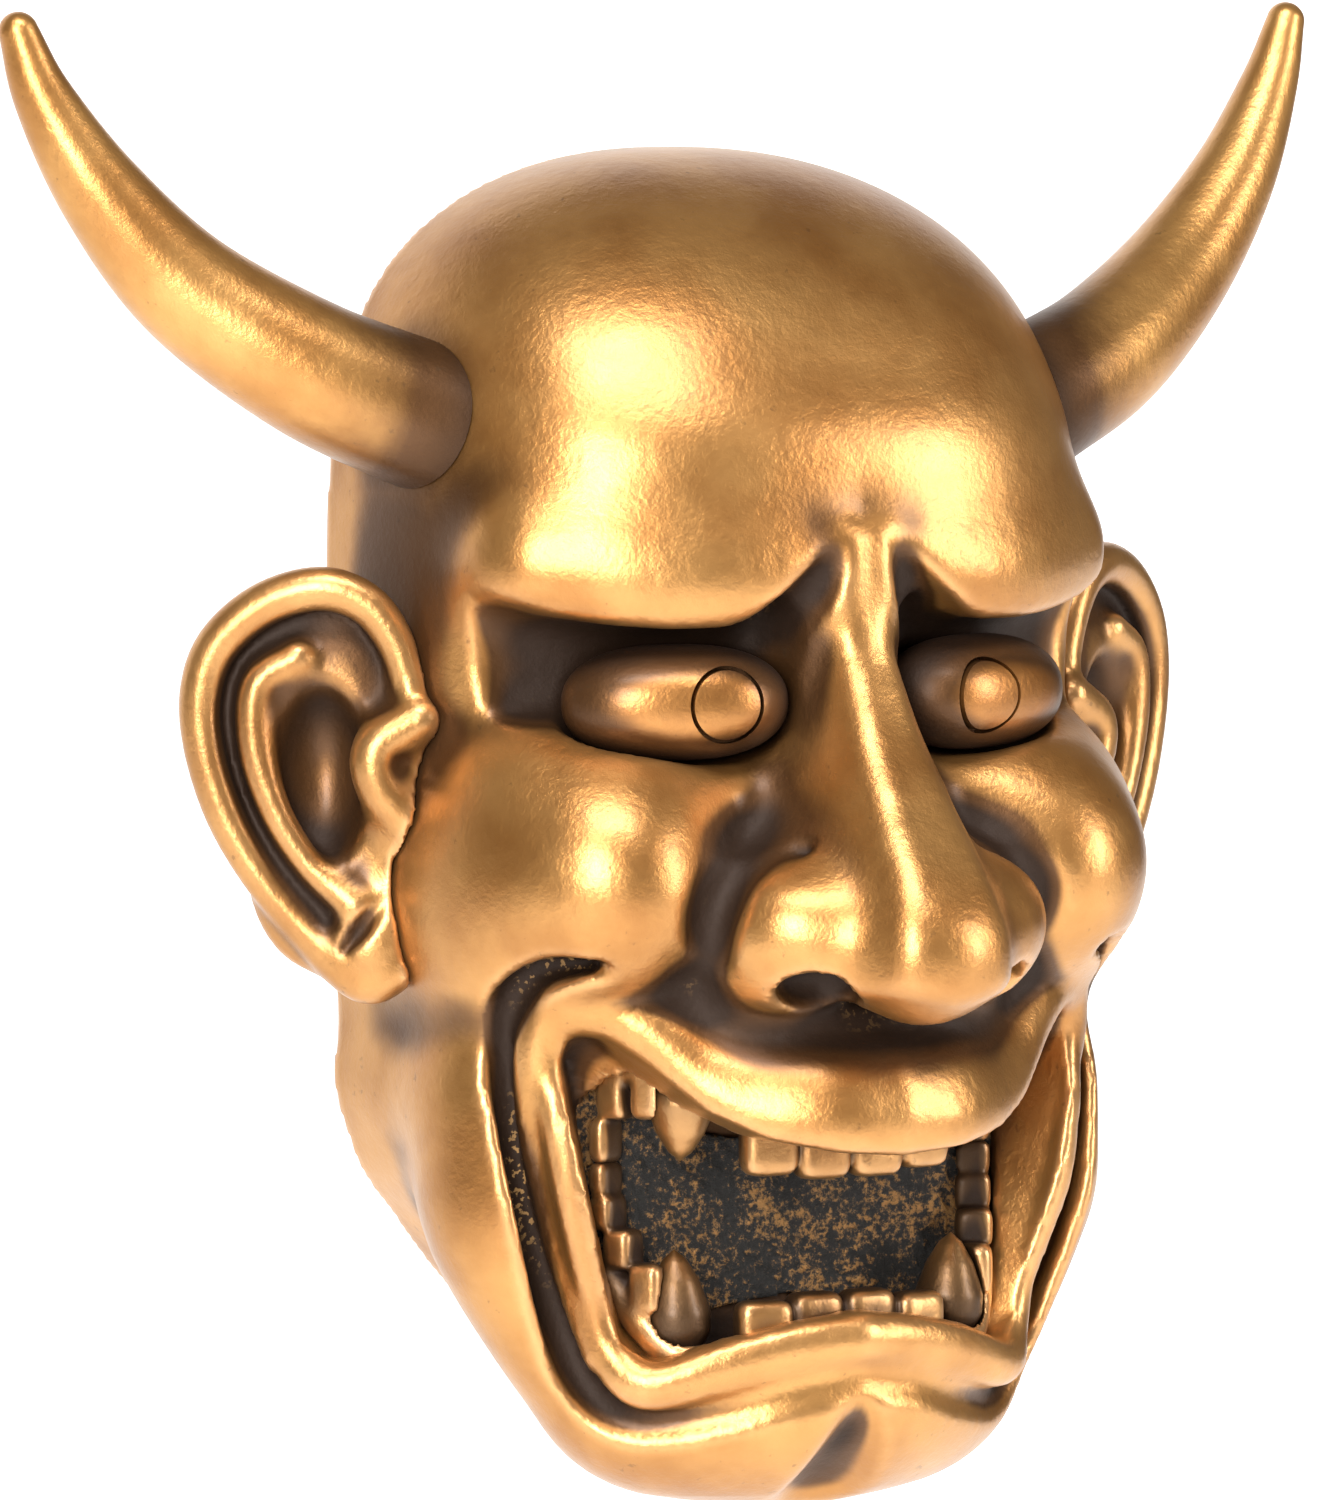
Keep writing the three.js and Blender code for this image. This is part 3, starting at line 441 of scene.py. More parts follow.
face.cut(
    (
        lambda x, y, z: smooth_max(socket_flat(x, z), socket_back(x, y), 9),
        np.array([8, -90, -14]),
        np.array([66, -34, 19]),
    ),
    2.2,
)
face.cut(ball([36, -66, -7], [29, 13, 11], 20), 7)
face.cut(roll([[17, -70, 9, 7], [12, -72, 15, 5.5], [7.5, -74.5, 22, 4], [4.6, -75.5, 30, 1.6]]), 1.5)
# cheekbone and cheek
face.add(roll([[22, -62, -19, 4], [38, -58, -21, 6], [54, -46, -18, 7]]), 9)
face.add(ball([44.5, -49.5, -33], [23, 28, 24]), 14)
face.add(ball([52, -34, -36], [19, 26, 26]), 10)
# muzzle below the nose
face.add(ball([0, -50, -76], [40, 30, 22]), 8)
face.add(roll([[0, -69, -62, 8], [16, -68, -60, 8], [30, -61, -56, 7], [39, -57, -52, 6]]), 5)
# nose: bridge, tip and wing, and the deep crease round the wing
face.add(
    wedge(
        [
            (-50, 66, 103, 28, 10), (-36, 64, 102, 26, 9), (-18, 62, 90.5, 20, 7),
            (0, 60, 78.5, 12, 5.5), (14, 60, 73.5, 9, 4.5), (28, 58, 71.5, 7, 3.5),
        ],
        3.5,
    ),
    6,
)
face.add(ball([0, -91.5, -45.5], [13, 14.5, 12.5]), 9)
face.add(ball([20, -77, -41.5], [12.5, 15, 12.5], -15), 10)
face.cut(
    roll(
        [
            [16, -80, -27.5, 0.5], [23, -79.5, -26, 2.4], [31, -79, -30, 4], [35, -78, -38, 4.4],
            [34.5, -76, -47, 3.2],
        ]
    ),
    2.5,
)
face.cut(ball([17, -85, -51.5], [8.5, 8, 5.2], -35), 1.5)
# jaw, chin, the clay that joins them, and the cleft
face.add(ball([45, -35, -80], [22.5, 21, 31]), 9)
face.add(ball([0, -46, -127], [40, 25, 18.5]), 10)
face.add(
    roll(
        [
            [48, -36, -97, 15], [44, -38, -111, 14], [38, -39.6, -120, 14], [31, -41, -128, 13.5],
            [22, -44, -132, 11], [0, -46, -132.5, 10.5],
        ]
    ),
    14,
)
face.cut(roll([[0, -75, -125, 1.2], [0, -73, -132, 4.5], [0, -67.5, -142, 8], [0, -60, -150, 10]]), 2.5)
# groove round the lips, then the lips
lip_groove = [
    [50, -60, -47, 1.5], [57, -55, -48.5, 2.6], [60.5, -51, -54, 3.2], [60.5, -48.5, -63, 3.4],
    [58.2, -47.5, -76, 3.4], [54.5, -46.5, -93, 3.4], [49.2, -46.5, -111, 3.6], [45.2, -50, -123.5, 3.6],
    [39.5, -56.5, -130.5, 3.6], [27, -65.5, -129, 3.4], [15, -71, -125.5, 3], [0, -74.3, -123.5, 3],
]
for outward in (0, 4, 8):
    face.cut(roll([[a + outward * 0.3, b - outward, c, r] for a, b, c, r in lip_groove]), 2.5)
face.add(
    roll(
        [
            [0, -80, -76.5, 8], [12, -78.5, -76, 8], [24, -71.5, -74.5, 7.5], [31, -66.5, -69.5, 7],
            [37, -63, -62, 6.2], [43, -60, -57.5, 5.4], [49, -56, -55.5, 4.8], [54, -52, -58, 4.2],
            [55.5, -50.5, -65, 3.6], [53.6, -49, -77, 3.2], [50.2, -48.5, -90, 3.2], [45.8, -49, -104.5, 3.4],
            [42, -52, -117, 3.8], [37, -57.5, -123.5, 4.6], [25, -63, -120, 5.2],
            [13, -66.5, -117, 5.4], [0, -68.5, -115.8, 5.6],
        ]
    ),
    1.6,
)
# the upper lip's broad front, and the ridge outside the corners of the mouth
face.add(
    roll(
        [
            [0, -77.5, -71, 9.5], [12, -75.5, -70.5, 9], [23, -69.5, -69, 8], [31, -64.5, -65, 6.5],
            [38, -61, -59, 5],
        ]
    ),
    4,
)
face.add(
    roll(
        [
            [51, -51, -57, 3], [56.5, -50, -61, 2.4], [56, -48.5, -76, 2.2], [52, -47.5, -92, 2.2],
            [47.5, -48, -106, 2.2], [43.5, -51.5, -119, 2.4],
        ]
    ),
    1.5,
)

# the open mouth, widening towards the back from the lips
mouth_half = [
    (0, -82), (12, -81), (24, -78.5), (33, -73.5), (41, -65.5), (47, -61), (51, -60.5), (53.3, -64.7),
    (52, -76), (49.1, -88.8), (44.4, -104.6), (41, -116), (36, -119.5), (24, -115), (12, -112.4),
    (0, -111),
]
mouth_corners = mouth_half + [(-a, b) for a, b in mouth_half[-2:0:-1]]
mouth_flat = outline(mouth_corners)
MOUTH_BACK = 42.7


def mouth_hole(x, y, z):
    funnel = mouth_flat(x, z) + np.maximum(y + 55, 0) * 0.75
    return np.maximum(funnel, y + MOUTH_BACK)


face.cut((mouth_hole, np.array([0, -118, -120]), np.array([54, -MOUTH_BACK, -58])), 1.2)

face.mirror()
x, y, z = face.grid()
PAST_WALL = 6
face.field = np.maximum(face.field, y - WALL_PLANE - PAST_WALL)

EYE_CENTRE, EYE_TURN, EYE_HALF = (31, -57.5, -1.5), 19, (20.5, 12, 10.4)


def eye_bar(side, grow):
    """The room for an eye: its own rounded bar, a little larger."""
    c, s = math.cos(math.radians(EYE_TURN * side)), math.sin(math.radians(EYE_TURN * side))
    a, b, h = (v + grow for v in EYE_HALF)

    def shape(x, y, z):
        dx, dy, dz = x - EYE_CENTRE[0] * side, y - EYE_CENTRE[1], z - EYE_CENTRE[2]
        qx, qy = np.abs(c * dx + s * dy) + 1e-6, np.abs(c * dy - s * dx) + 1e-6
        qz = np.abs(dz) + 1e-6
        total = (qx / a) ** 2.6 + (qy / b) ** 2 + (qz / h) ** 2.3
        slope = np.sqrt(
            (2.6 / a * (qx / a) ** 1.6) ** 2 + (2 / b * (qy / b)) ** 2 + (2.3 / h * (qz / h) ** 1.3) ** 2
        )
        reach = np.sqrt(total)
        return (reach - 1) * 2 * reach / np.maximum(slope, 1e-6)

    centre = np.array([EYE_CENTRE[0] * side, *EYE_CENTRE[1:]])
    size = np.array([a, a, h])
    return shape, centre - size, centre + size


for side in (-1, 1):
    face.cut(eye_bar(side, 0.9), 1.6)

HORN_ROOT, HORN_BURIED = np.array([66, -23, 50.0]), np.array([57, -26, 46.5])
horn_inward = (HORN_BURIED - HORN_ROOT) / np.linalg.norm(HORN_BURIED - HORN_ROOT)


def horn_axis(side, depth):
    return (HORN_ROOT + horn_inward * depth) * (side, 1, 1)


# The hollow behind keeps a wall of about 7 mm. It goes round the eyes and the mouth, and leaves a lug at the
# top for the hanger and a boss under each horn.
WALL = 7.0
LUG_MIDDLE, LUG_HALF = [0, -7.5, 75.5], [17, 4.5, 16.5]
SCREW_X, SCREW_Z = 4.5, 70
BOSS_LENGTH, BOSS_RADIUS = 9, 7.5
DEEPEST = -62
outside = face.like(face.field)
room = Clay((-84, -118, -156), (84, 22, 108), 3.0)
gx, gy, gz = np.meshgrid(*room.axes, indexing="ij")
room_points = np.stack([gx.ravel(), np.minimum(gy.ravel(), 2.0), gz.ravel()], 1)
skin_gap = face.sample(room_points).reshape(gx.shape)


def slab(centre, half, round_by):
    """A block with rounded edges."""

    def shape(x, y, z):
        dx = np.abs(x - centre[0]) - half[0] + round_by
        dy = np.abs(y - centre[1]) - half[1] + round_by
        dz = np.abs(z - centre[2]) - half[2] + round_by
        out = np.sqrt(np.maximum(dx, 0) ** 2 + np.maximum(dy, 0) ** 2 + np.maximum(dz, 0) ** 2)
        return out + np.minimum(np.maximum(np.maximum(dx, dy), dz), 0) - round_by

    return shape


def rod_field(a, b, radius):
    """The clay of a straight rod, or of the hole for one."""
    a, b = np.array(a, float), np.array(b, float)
    d = (b - a) / np.linalg.norm(b - a)
    length = np.linalg.norm(b - a)

    def shape(x, y, z):
        along = (x - a[0]) * d[0] + (y - a[1]) * d[1] + (z - a[2]) * d[2]
        off = np.sqrt(
            (x - a[0] - along * d[0]) ** 2 + (y - a[1] - along * d[1]) ** 2 + (z - a[2] - along * d[2]) ** 2
        )
        return np.maximum(off - radius, np.maximum(-along, along - length))

    return shape, np.minimum(a, b) - radius, np.maximum(a, b) + radius


round_eyes = ball(EYE_CENTRE, [22, 13, 12], EYE_TURN)[0](np.abs(gx), gy, gz)
round_mouth = slab([0, -72.7, -92], [52, 30, 35], 4)(gx, gy, gz)
space = smooth_max(smooth_max(skin_gap, -round_eyes, 6), -round_mouth, 8) + WALL
space = np.maximum(space, -slab(LUG_MIDDLE, LUG_HALF, 1)(gx, gy, gz))
for side in (-1, 1):
    boss = rod_field(horn_axis(side, 0), horn_axis(side, BOSS_LENGTH), BOSS_RADIUS)[0](gx, gy, gz)
    space = np.maximum(space, -boss)
space = np.maximum(space, DEEPEST - gy)
room.field = np.maximum(space, gy - 20).astype(np.float32)
room.join_diagonals()


def piece_from(name, points, faces):
    """A Blender object from points in the drawing's millimetres."""
    mesh = bpy.data.meshes.new(name)
    mesh.from_pydata(((points + ZERO) / 1000).tolist(), [], faces.tolist())
    mesh.shade_smooth()
    made = bpy.data.objects.new(name, mesh)
    bpy.context.scene.collection.objects.link(made)
    return made


def points_of(piece):
    flat = np.empty(len(piece.data.vertices) * 3, np.float32)
    piece.data.vertices.foreach_get("co", flat)
    return flat.reshape(-1, 3) * 1000.0 - ZERO


def note(piece, name, values):
    """Keeps a value for each point, for the paint to read."""
    attribute = piece.data.attributes.get(name) or piece.data.attributes.new(name, "FLOAT", "POINT")
    attribute.data.foreach_set("value", np.asarray(values, np.float32))


def settle_modifiers(piece):
    """Replaces a piece's mesh by what its modifiers make of it."""
    view = bpy.context.evaluated_depsgraph_get()
    made = bpy.data.meshes.new_from_object(piece.evaluated_get(view))
    piece.modifiers.clear()
    old, piece.data = piece.data, made
    name = old.name
    bpy.data.meshes.remove(old)
    made.name = name


def paint(piece, material):
    """Gives the whole piece one material."""
    piece.data.materials.clear()
    piece.data.materials.append(material)
    piece.data.polygons.foreach_set("material_index", [0] * len(piece.data.polygons))


def carve(piece, tool, how="DIFFERENCE"):
    """Cuts a piece with a tool, or joins or crops it, and uses the tool up."""
    modifier = piece.modifiers.new("carve", "BOOLEAN")
    modifier.operation = how
    modifier.solver = "MANIFOLD"
    modifier.object = tool
    settle_modifiers(piece)
    mesh = tool.data
    bpy.data.objects.remove(tool)
    bpy.data.meshes.remove(mesh)


def rod(a, b, radius, sides=24):
    """A closed cylinder between two points, as a piece."""
    a, b = np.array(a, float), np.array(b, float)
    d = (b - a) / np.linalg.norm(b - a)
    u = np.cross(d, [0, 0, 1.0] if abs(d[2]) < 0.9 else [1.0, 0, 0])
    u /= np.linalg.norm(u)
    v = np.cross(d, u)
    turn = np.arange(sides) / sides * 2 * math.pi
    rim = np.cos(turn)[:, None] * u + np.sin(turn)[:, None] * v
    points = np.vstack([a + rim * radius, b + rim * radius])
    quads = [[k, (k + 1) % sides, (k + 1) % sides + sides, k + sides] for k in range(sides)]
    mesh = bpy.data.meshes.new("rod")
    faces = quads + [list(range(sides))[::-1], list(range(sides, 2 * sides))]
    mesh.from_pydata(((points + ZERO) / 1000).tolist(), [], faces)
    made = bpy.data.objects.new("rod", mesh)
    bpy.context.scene.collection.objects.link(made)
    return made


# Room behind the lips for the gums and the roots of the teeth, which stand on an arch.
ARCH_HALF, ARCH_DEPTH = 47.0, 69.0


def arch_depth(x, inset=0.0):
    share = np.minimum(np.abs(x) / (ARCH_HALF - inset), 1)
    return (ARCH_DEPTH - inset) * (1 - share**3) ** (1 / 3)


root_half = [
    (0, -67.5), (18, -66.5), (30, -63.5), (40, -62), (46, -65), (47, -82),
    (44, -97), (38.5, -111), (31, -119.5), (24, -121), (0, -120),
]
root_flat = outline(root_half + [(-a, b) for a, b in root_half[-2:0:-1]])


def root_room(x, y, z):
    """Less deep behind the lower lip, which is thinner."""
    depth = ARCH_DEPTH + 0.6 - 3 * np.clip((-100 - z) / 8, 0, 1) - 3 * np.clip((-114 - z) / 6, 0, 1)
    arch = (np.abs(x / (ARCH_HALF + 0.6)) ** 3 + np.abs(y / depth) ** 3) ** (1 / 3) - 1
    return np.maximum(np.maximum(root_flat(x, z), arch * 50), y + MOUTH_BACK)


face.cut((root_room, np.array([-50, -71, -127]), np.array([50, -MOUTH_BACK, -60])), 0.4)
for side in (-1, 1):
    face.cut(rod_field(horn_axis(side, -12), horn_axis(side, 4.8), 5.3), 0.3)
    face.cut(rod_field(horn_axis(side, 0), horn_axis(side, 30), 2.2), 0.3)
    face.cut(rod_field((SCREW_X * side, 0, SCREW_Z), (SCREW_X * side, -9.3, SCREW_Z), 1.8), 0.3)
face.field = np.maximum(face.field, y - WALL_PLANE)
face.join_diagonals()

points, faces = face.skin()
points = face.settle(points)
points[:, 1] = np.minimum(points[:, 1], WALL_PLANE)
shell = piece_from("face", points, faces)
carve(shell, piece_from("room", *room.skin()))
at = points_of(shell)
wide, close, fine = (face.crowding(at, r) for r in (11, 5, 2))
inside = (room.sample(at) < 0.8) & (face.sample(at) < -3)

# where the dark patina wash pools, with painted shade laid in with it under the brow, nose and lips and
# inside the mouth: the middle and spread of each pool, and how dark it is
WASH_AND_SHADE_POOLS = [
    # under the horn, round the ear and over the temple
    ((66, -23, 50), (20, 20, 20), 0.45), ((70, -22, 2), (15, 19, 46), 0.42),
    ((66, -40, 28), (13, 20, 24), 0.26),
    # round the eye and in the frown
    ((36, -50, -1), (31, 13, 17), 0.62), ((12, -70, 8), (8, 9, 15), 0.4), ((9, -73, 21), (6, 8, 12), 0.45),
    # beside and under the nose
    ((30, -74, -33), (9, 13, 13), 0.42), ((33, -66, -52), (9, 12, 8), 0.3),
    ((0, -80, -66), (42, 14, 9), 0.42),
    # round the lips, in the cleft and inside the mouth
    ((60, -47, -56), (9, 13, 11), 0.4), ((57, -46, -85), (7, 9, 34), 0.34),
    ((42, -50, -125), (13, 13, 9), 0.4),
    ((0, -70, -136), (4.5, 9, 13), 0.5), ((0, -42, -96), (52, 18, 30), 0.35),
]
half_at = np.column_stack([np.abs(at[:, 0]), at[:, 1:]])
pooled_wash_and_shade = np.zeros(len(at))
for middle, spread, dark in WASH_AND_SHADE_POOLS:
    away = (((half_at - middle) / spread) ** 2).sum(1)
    pooled_wash_and_shade = np.maximum(pooled_wash_and_shade, dark * np.exp(-(away**1.5)))
# the crowding of clay and the pools darken the paint: partly the mask's patina wash, partly painted shade in
# recesses and creases
note(shell, "hollow", np.where(inside, 0.35, np.clip((wide - 0.49) * 2.8 + pooled_wash_and_shade, -1, 1)))
note(shell, "crease", np.where(inside, 0, np.clip((close - 0.5) * 3.0, -1, 1)))
note(shell, "edge", np.where(inside, 0, np.clip((fine - 0.5) * 4.0, -1, 1)))
shell.data.shade_smooth()


class Nodes:
    """Short writing for a material's nodes."""

    def __init__(self, material):
        material.use_nodes = True
        self.tree = material.node_tree
        self.surface = self.tree.nodes["Principled BSDF"]

    def make(self, kind, inputs=(), **settings):
        node = self.tree.nodes.new("ShaderNode" + kind)
        for key, value in settings.items():
            setattr(node, key, value)
        for key, value in dict(inputs).items():
            self.feed(node.inputs[key], value)
        return node

    def feed(self, socket, value):
        if isinstance(value, bpy.types.NodeSocket):
            self.tree.links.new(value, socket)
        else:
            socket.default_value = value

    def attribute(self, name):
        return self.make("Attribute", attribute_name=name).outputs["Fac"]

    def math(self, operation, a, b):
        return self.make("Math", {0: a, 1: b}, operation=operation).outputs[0]

    def ramp(self, value, low, high, start=0.0, end=1.0):
        node = self.make(
            "MapRange",
            {"Value": value, "From Min": low, "From Max": high, "To Min": start, "To Max": end},
            interpolation_type="SMOOTHSTEP",
        )
        return node.outputs["Result"]

    def mix(self, share, a, b):
        node = self.make("Mix", data_type="RGBA")
        self.feed(node.inputs[0], share)
        self.feed(node.inputs[6], a)
        self.feed(node.inputs[7], b)
        return node.outputs[2]

    def noise(self, scale, detail, roughness):
        place = self.make("TexCoord").outputs["Object"]
        node = self.make(
            "TexNoise", {"Vector": place, "Scale": scale, "Detail": detail, "Roughness": roughness}
        )
        return node.outputs["Fac"]


def bronze_paint(name, gold=(0.48, 0.24, 0.072), umber=(0.085, 0.037, 0.012)):
    """Bronze metal paint over resin: dark patina wash and painted shade in the hollows, near black in the
    deepest, rubbed brighter on the edges.
    """
    material = bpy.data.materials.new(name)
    p = Nodes(material)
    hollow, crease, edge = (p.attribute(a) for a in ("hollow", "crease", "edge"))
    cloud = p.noise(38, 5, 0.55)
    fleck = p.noise(420, 3, 0.6)
    # deep gathers the hollow and crease values: where they are high the paint turns umber, then near black,
    # as patina wash and painted shade
    deep = p.math("ADD", p.math("MULTIPLY", hollow, 1.15), p.math("MULTIPLY", crease, 0.6))
    deep = p.math("ADD", deep, p.math("MULTIPLY", p.math("SUBTRACT", cloud, 0.5), 0.2))
    wash_and_shade_share = p.ramp(deep, -0.05, 0.32)
    black = p.ramp(deep, 0.28, 0.78)
    rubbed = p.ramp(p.math("ADD", edge, p.math("MULTIPLY", cloud, 0.1)), -0.05, -0.5)
    light = tuple(min(c * 1.25 + 0.06, 1) for c in gold) + (1,)
    brown = (gold[0] * 0.68, gold[1] * 0.58, gold[2] * 0.46, 1)
    colour = p.mix(p.ramp(cloud, 0.3, 0.7), (*gold, 1), brown)
    colour = p.mix(p.math("MULTIPLY", rubbed, 0.5), colour, light)
    colour = p.mix(wash_and_shade_share, colour, (*umber, 1))
    colour = p.mix(black, colour, (0.02, 0.009, 0.004, 1))
    pits = p.ramp(fleck, 0.66, 0.74)
    colour = p.mix(p.math("MULTIPLY", pits, 0.35), colour, (0.05, 0.03, 0.015, 1))
    grit = p.ramp(p.noise(900, 2, 0.5), 0.56, 0.62)
    grit = p.math("MULTIPLY", grit, p.ramp(deep, 1.15, 1.6, 0, 0.55))
    colour = p.mix(grit, colour, (0.5, 0.28, 0.1, 1))
    p.feed(p.surface.inputs["Base Color"], colour)
    p.feed(p.surface.inputs["Metallic"], p.ramp(deep, 0.2, 0.9, 0.82, 0.35))
    rough = p.math("ADD", p.ramp(deep, -0.1, 0.8, 0.29, 0.55), p.math("MULTIPLY", fleck, 0.1))
    p.feed(p.surface.inputs["Roughness"], rough)
    p.feed(p.surface.inputs["Coat Weight"], p.ramp(deep, 0.1, 0.7, 0.35, 0.0))
    p.surface.inputs["Specular IOR Level"].default_value = 0.3
    p.surface.inputs["Coat Roughness"].default_value = 0.3
    grain = p.math(
        "ADD",
        p.math("MULTIPLY", p.noise(330, 6, 0.62), 0.7),
        p.math("MULTIPLY", p.noise(1100, 3, 0.6), 0.3),
    )
    bump = p.make("Bump", {"Height": grain, "Strength": 0.4, "Distance": 0.0006})
    p.feed(p.surface.inputs["Normal"], bump.outputs["Normal"])
    return material


paint(shell, bronze_paint("face_paint"))
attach(shell, "mask")
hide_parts("face_shell")

# ---------------------------------------------------------------- eyes
# Each eye is a cast bar of resin, glued into its hollow and turned outwards to follow the face. A round plug
# set flush in its front is the pupil, and its seam is the thin dark ring.

PUPIL_RADIUS, PUPIL_DEPTH, PUPIL_SHIFT, SEAM = 6.2, 6.0, -7.5, 0.75


def eye_piece(name, side):
    """A ball drawn out to the eye's rounded bar."""
    across, up = 96, 48
    points = [(0, 0, -1.0)]
    for i in range(1, up):
        tilt = (i / up - 0.5) * math.pi
        for k in range(across):
            turn = k / across * 2 * math.pi
            points.append((math.cos(tilt) * math.cos(turn), math.cos(tilt) * math.sin(turn), math.sin(tilt)))
    points.append((0, 0, 1.0))
    p = np.array(points)
    p = np.stack(
        [
            np.sign(p[:, 0]) * np.abs(p[:, 0]) ** 0.8 * EYE_HALF[0],
            p[:, 1] * EYE_HALF[1],
            np.sign(p[:, 2]) * np.abs(p[:, 2]) ** 0.9 * EYE_HALF[2],
        ],
        1,
    )
    c, s = math.cos(math.radians(EYE_TURN * side)), math.sin(math.radians(EYE_TURN * side))
    x, y, z = p.T
    p = np.stack([c * x - s * y + EYE_CENTRE[0] * side, s * x + c * y + EYE_CENTRE[1], z + EYE_CENTRE[2]], 1)
    faces = []
    for k in range(across):
        n = (k + 1) % across
        faces.append([0, 1 + n, 1 + k])
        for i in range(up - 2):
            a = 1 + i * across
            faces.append([a + k, a + n, a + across + n, a + across + k])
        a = 1 + (up - 2) * across
        faces.append([a + k, a + n, len(p) - 1])
    mesh = bpy.data.meshes.new(name)
    mesh.from_pydata(((p + ZERO) / 1000).tolist(), [], faces)
    made = bpy.data.objects.new(name, mesh)
    bpy.context.scene.collection.objects.link(made)
    return made


def pupil_rod(side, grow):
    a = math.radians(EYE_TURN)
    out = np.array([math.sin(a) * side, -math.cos(a), 0])
    along = np.array([math.cos(a) * side, math.sin(a), 0])
    front = np.array([EYE_CENTRE[0] * side, *EYE_CENTRE[1:]]) + along * PUPIL_SHIFT + out * EYE_HALF[1]
    return rod(front - out * (PUPIL_DEPTH + grow), front + out * 4, PUPIL_RADIUS + grow, 64)


eye_paint = bronze_paint("eye_paint", gold=(0.4, 0.18, 0.048))
for hand, side in (("left", 1), ("right", -1)):
    eye = eye_piece(hand + "_eye", side)
    plug = eye_piece(hand + "_pupil", side)
    carve(eye, pupil_rod(side, SEAM))
    carve(plug, pupil_rod(side, 0), "INTERSECT")
    for piece, node, slot_name in ((eye, "eye", "eye_bronze"), (plug, "pupil", "pupil_bronze")):
        at = points_of(piece)
        # the eye darkens towards its rim, less at its outer end: painted shade where it sinks into its
        # socket, with the patina wash
        level = (np.abs(at[:, 0]) - EYE_CENTRE[0]) / (EYE_HALF[0] * 0.95)
        level = np.where(level < 0, level, level * 0.7)
        rim = np.hypot(level, (at[:, 2] - EYE_CENTRE[2]) / EYE_HALF[2])
        note(piece, "hollow", np.clip((rim - 0.45) * 1.3, -0.1, 0.8))
        note(piece, "crease", np.zeros(len(at)))
        note(piece, "edge", np.zeros(len(at)))
        piece.data.shade_smooth()
        piece.data.set_sharp_from_angle(angle=math.radians(40))
        paint(piece, eye_paint)
        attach(piece, "mask")
        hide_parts(f"{hand}_{node}")

# ---------------------------------------------------------------- ears
# Each ear is a separate casting glued to the side of the head: a thin plate with a rolled rim, an inner
# ridge, a deep bowl and a small flap in front of it.

EAR_TURN, EAR_ROOT = 34, (70, -26)


def ear_point(along, z, out):
    """A place on the ear's own plate: back from its root, up, and out from the plate."""
    a = math.radians(EAR_TURN)
    return [
        EAR_ROOT[0] + along * math.cos(a) + out * math.sin(a),
        EAR_ROOT[1] + along * math.sin(a) - out * math.cos(a),
        z,
    ]


def ear_roll(line):
    return roll([[*ear_point(a, z, out), r] for a, z, out, r in line])


ear = Clay((50, -58, -70), (112, 14, 32), 0.85)
ear.add(ball(ear_point(17, -4, -3), [19, 6, 20], EAR_TURN), 1)
ear.add(ball(ear_point(13, -31, -2.5), [14.5, 6, 20], EAR_TURN), 8)
ear.add(ball(ear_point(5, -46, 0), [8, 5.5, 10], EAR_TURN), 6)
ear.cut(
    ear_roll(
        [
            (6, 11, 4, 2.6), (19, 11.5, 4, 3), (28.5, 6, 4, 3), (30.5, -6, 4, 3), (27, -19, 4, 2.8),
            (19, -32, 4, 2.4), (13, -40, 4, 1.8),
        ]
    ),
    3,
)
ear.cut(ball(ear_point(13.5, -15, 6), [9, 12, 17], EAR_TURN), 3)
ear.add(
    ear_roll(
        [
            (18, 6, 2, 2.6), (25, 1, 2.6, 3), (25.5, -10, 2.8, 3), (21.5, -22, 2.6, 2.8),
            (15, -32, 2.2, 2.6), (8, -38, 2.4, 2.6),
        ]
    ),
    3,
)
ear.add(
    ear_roll(
        [
            (-2, 2, 1, 3), (1, 10, 1, 3.5), (6, 16, 1.2, 3.8), (14, 18.4, 1.5, 4), (24, 15.5, 1.5, 4),
            (32, 8.5, 1.5, 4), (35.2, 0, 1.5, 3.9), (34.8, -10, 1.5, 3.7), (31.2, -22, 1.4, 3.5),
            (25, -33, 1.2, 3.3), (17.5, -42, 1, 3.2), (10.5, -49, 1, 3.4), (5, -52.5, 1, 3.4),
            (-1, -50, 1, 3.2),
        ]
    ),
    1.6,
)
ear.add(ear_roll([(-4, -5, 3, 4), (3.5, -10, 4.5, 4.2), (3, -17, 4.5, 4), (-3, -24, 3, 4)]), 4)
ear.add(ball(ear_point(-1, -22, -1), [6, 5, 24], EAR_TURN), 4)
ear.cut(ear_roll([(1, -36, 5, 0.6), (6, -42, 5, 1.6), (9, -46, 4.5, 0.6)]), 1.5)
ex, ey, ez = np.meshgrid(*ear.axes, indexing="ij")
GLUE = 0.35
against = face.sample(np.stack([ex.ravel(), np.minimum(ey.ravel(), 2.4), ez.ravel()], 1)).reshape(ex.shape)
ear.field = np.maximum(np.maximum(ear.field, GLUE - against), ey - WALL_PLANE).astype(np.float32)
ear.join_diagonals()
ear_points, ear_faces = ear.skin()
ear_points = ear.settle(ear_points)
ear_wide, ear_close, ear_fine = (ear.crowding(ear_points, r) for r in (6, 3, 1.5))
ear_paint = bronze_paint("ear_paint", gold=(0.46, 0.235, 0.075))
root_shadow = np.clip((outside.crowding(np.minimum(ear_points, [82, 8, 200]), 11) - 0.1) * 1.1, 0, 0.6)
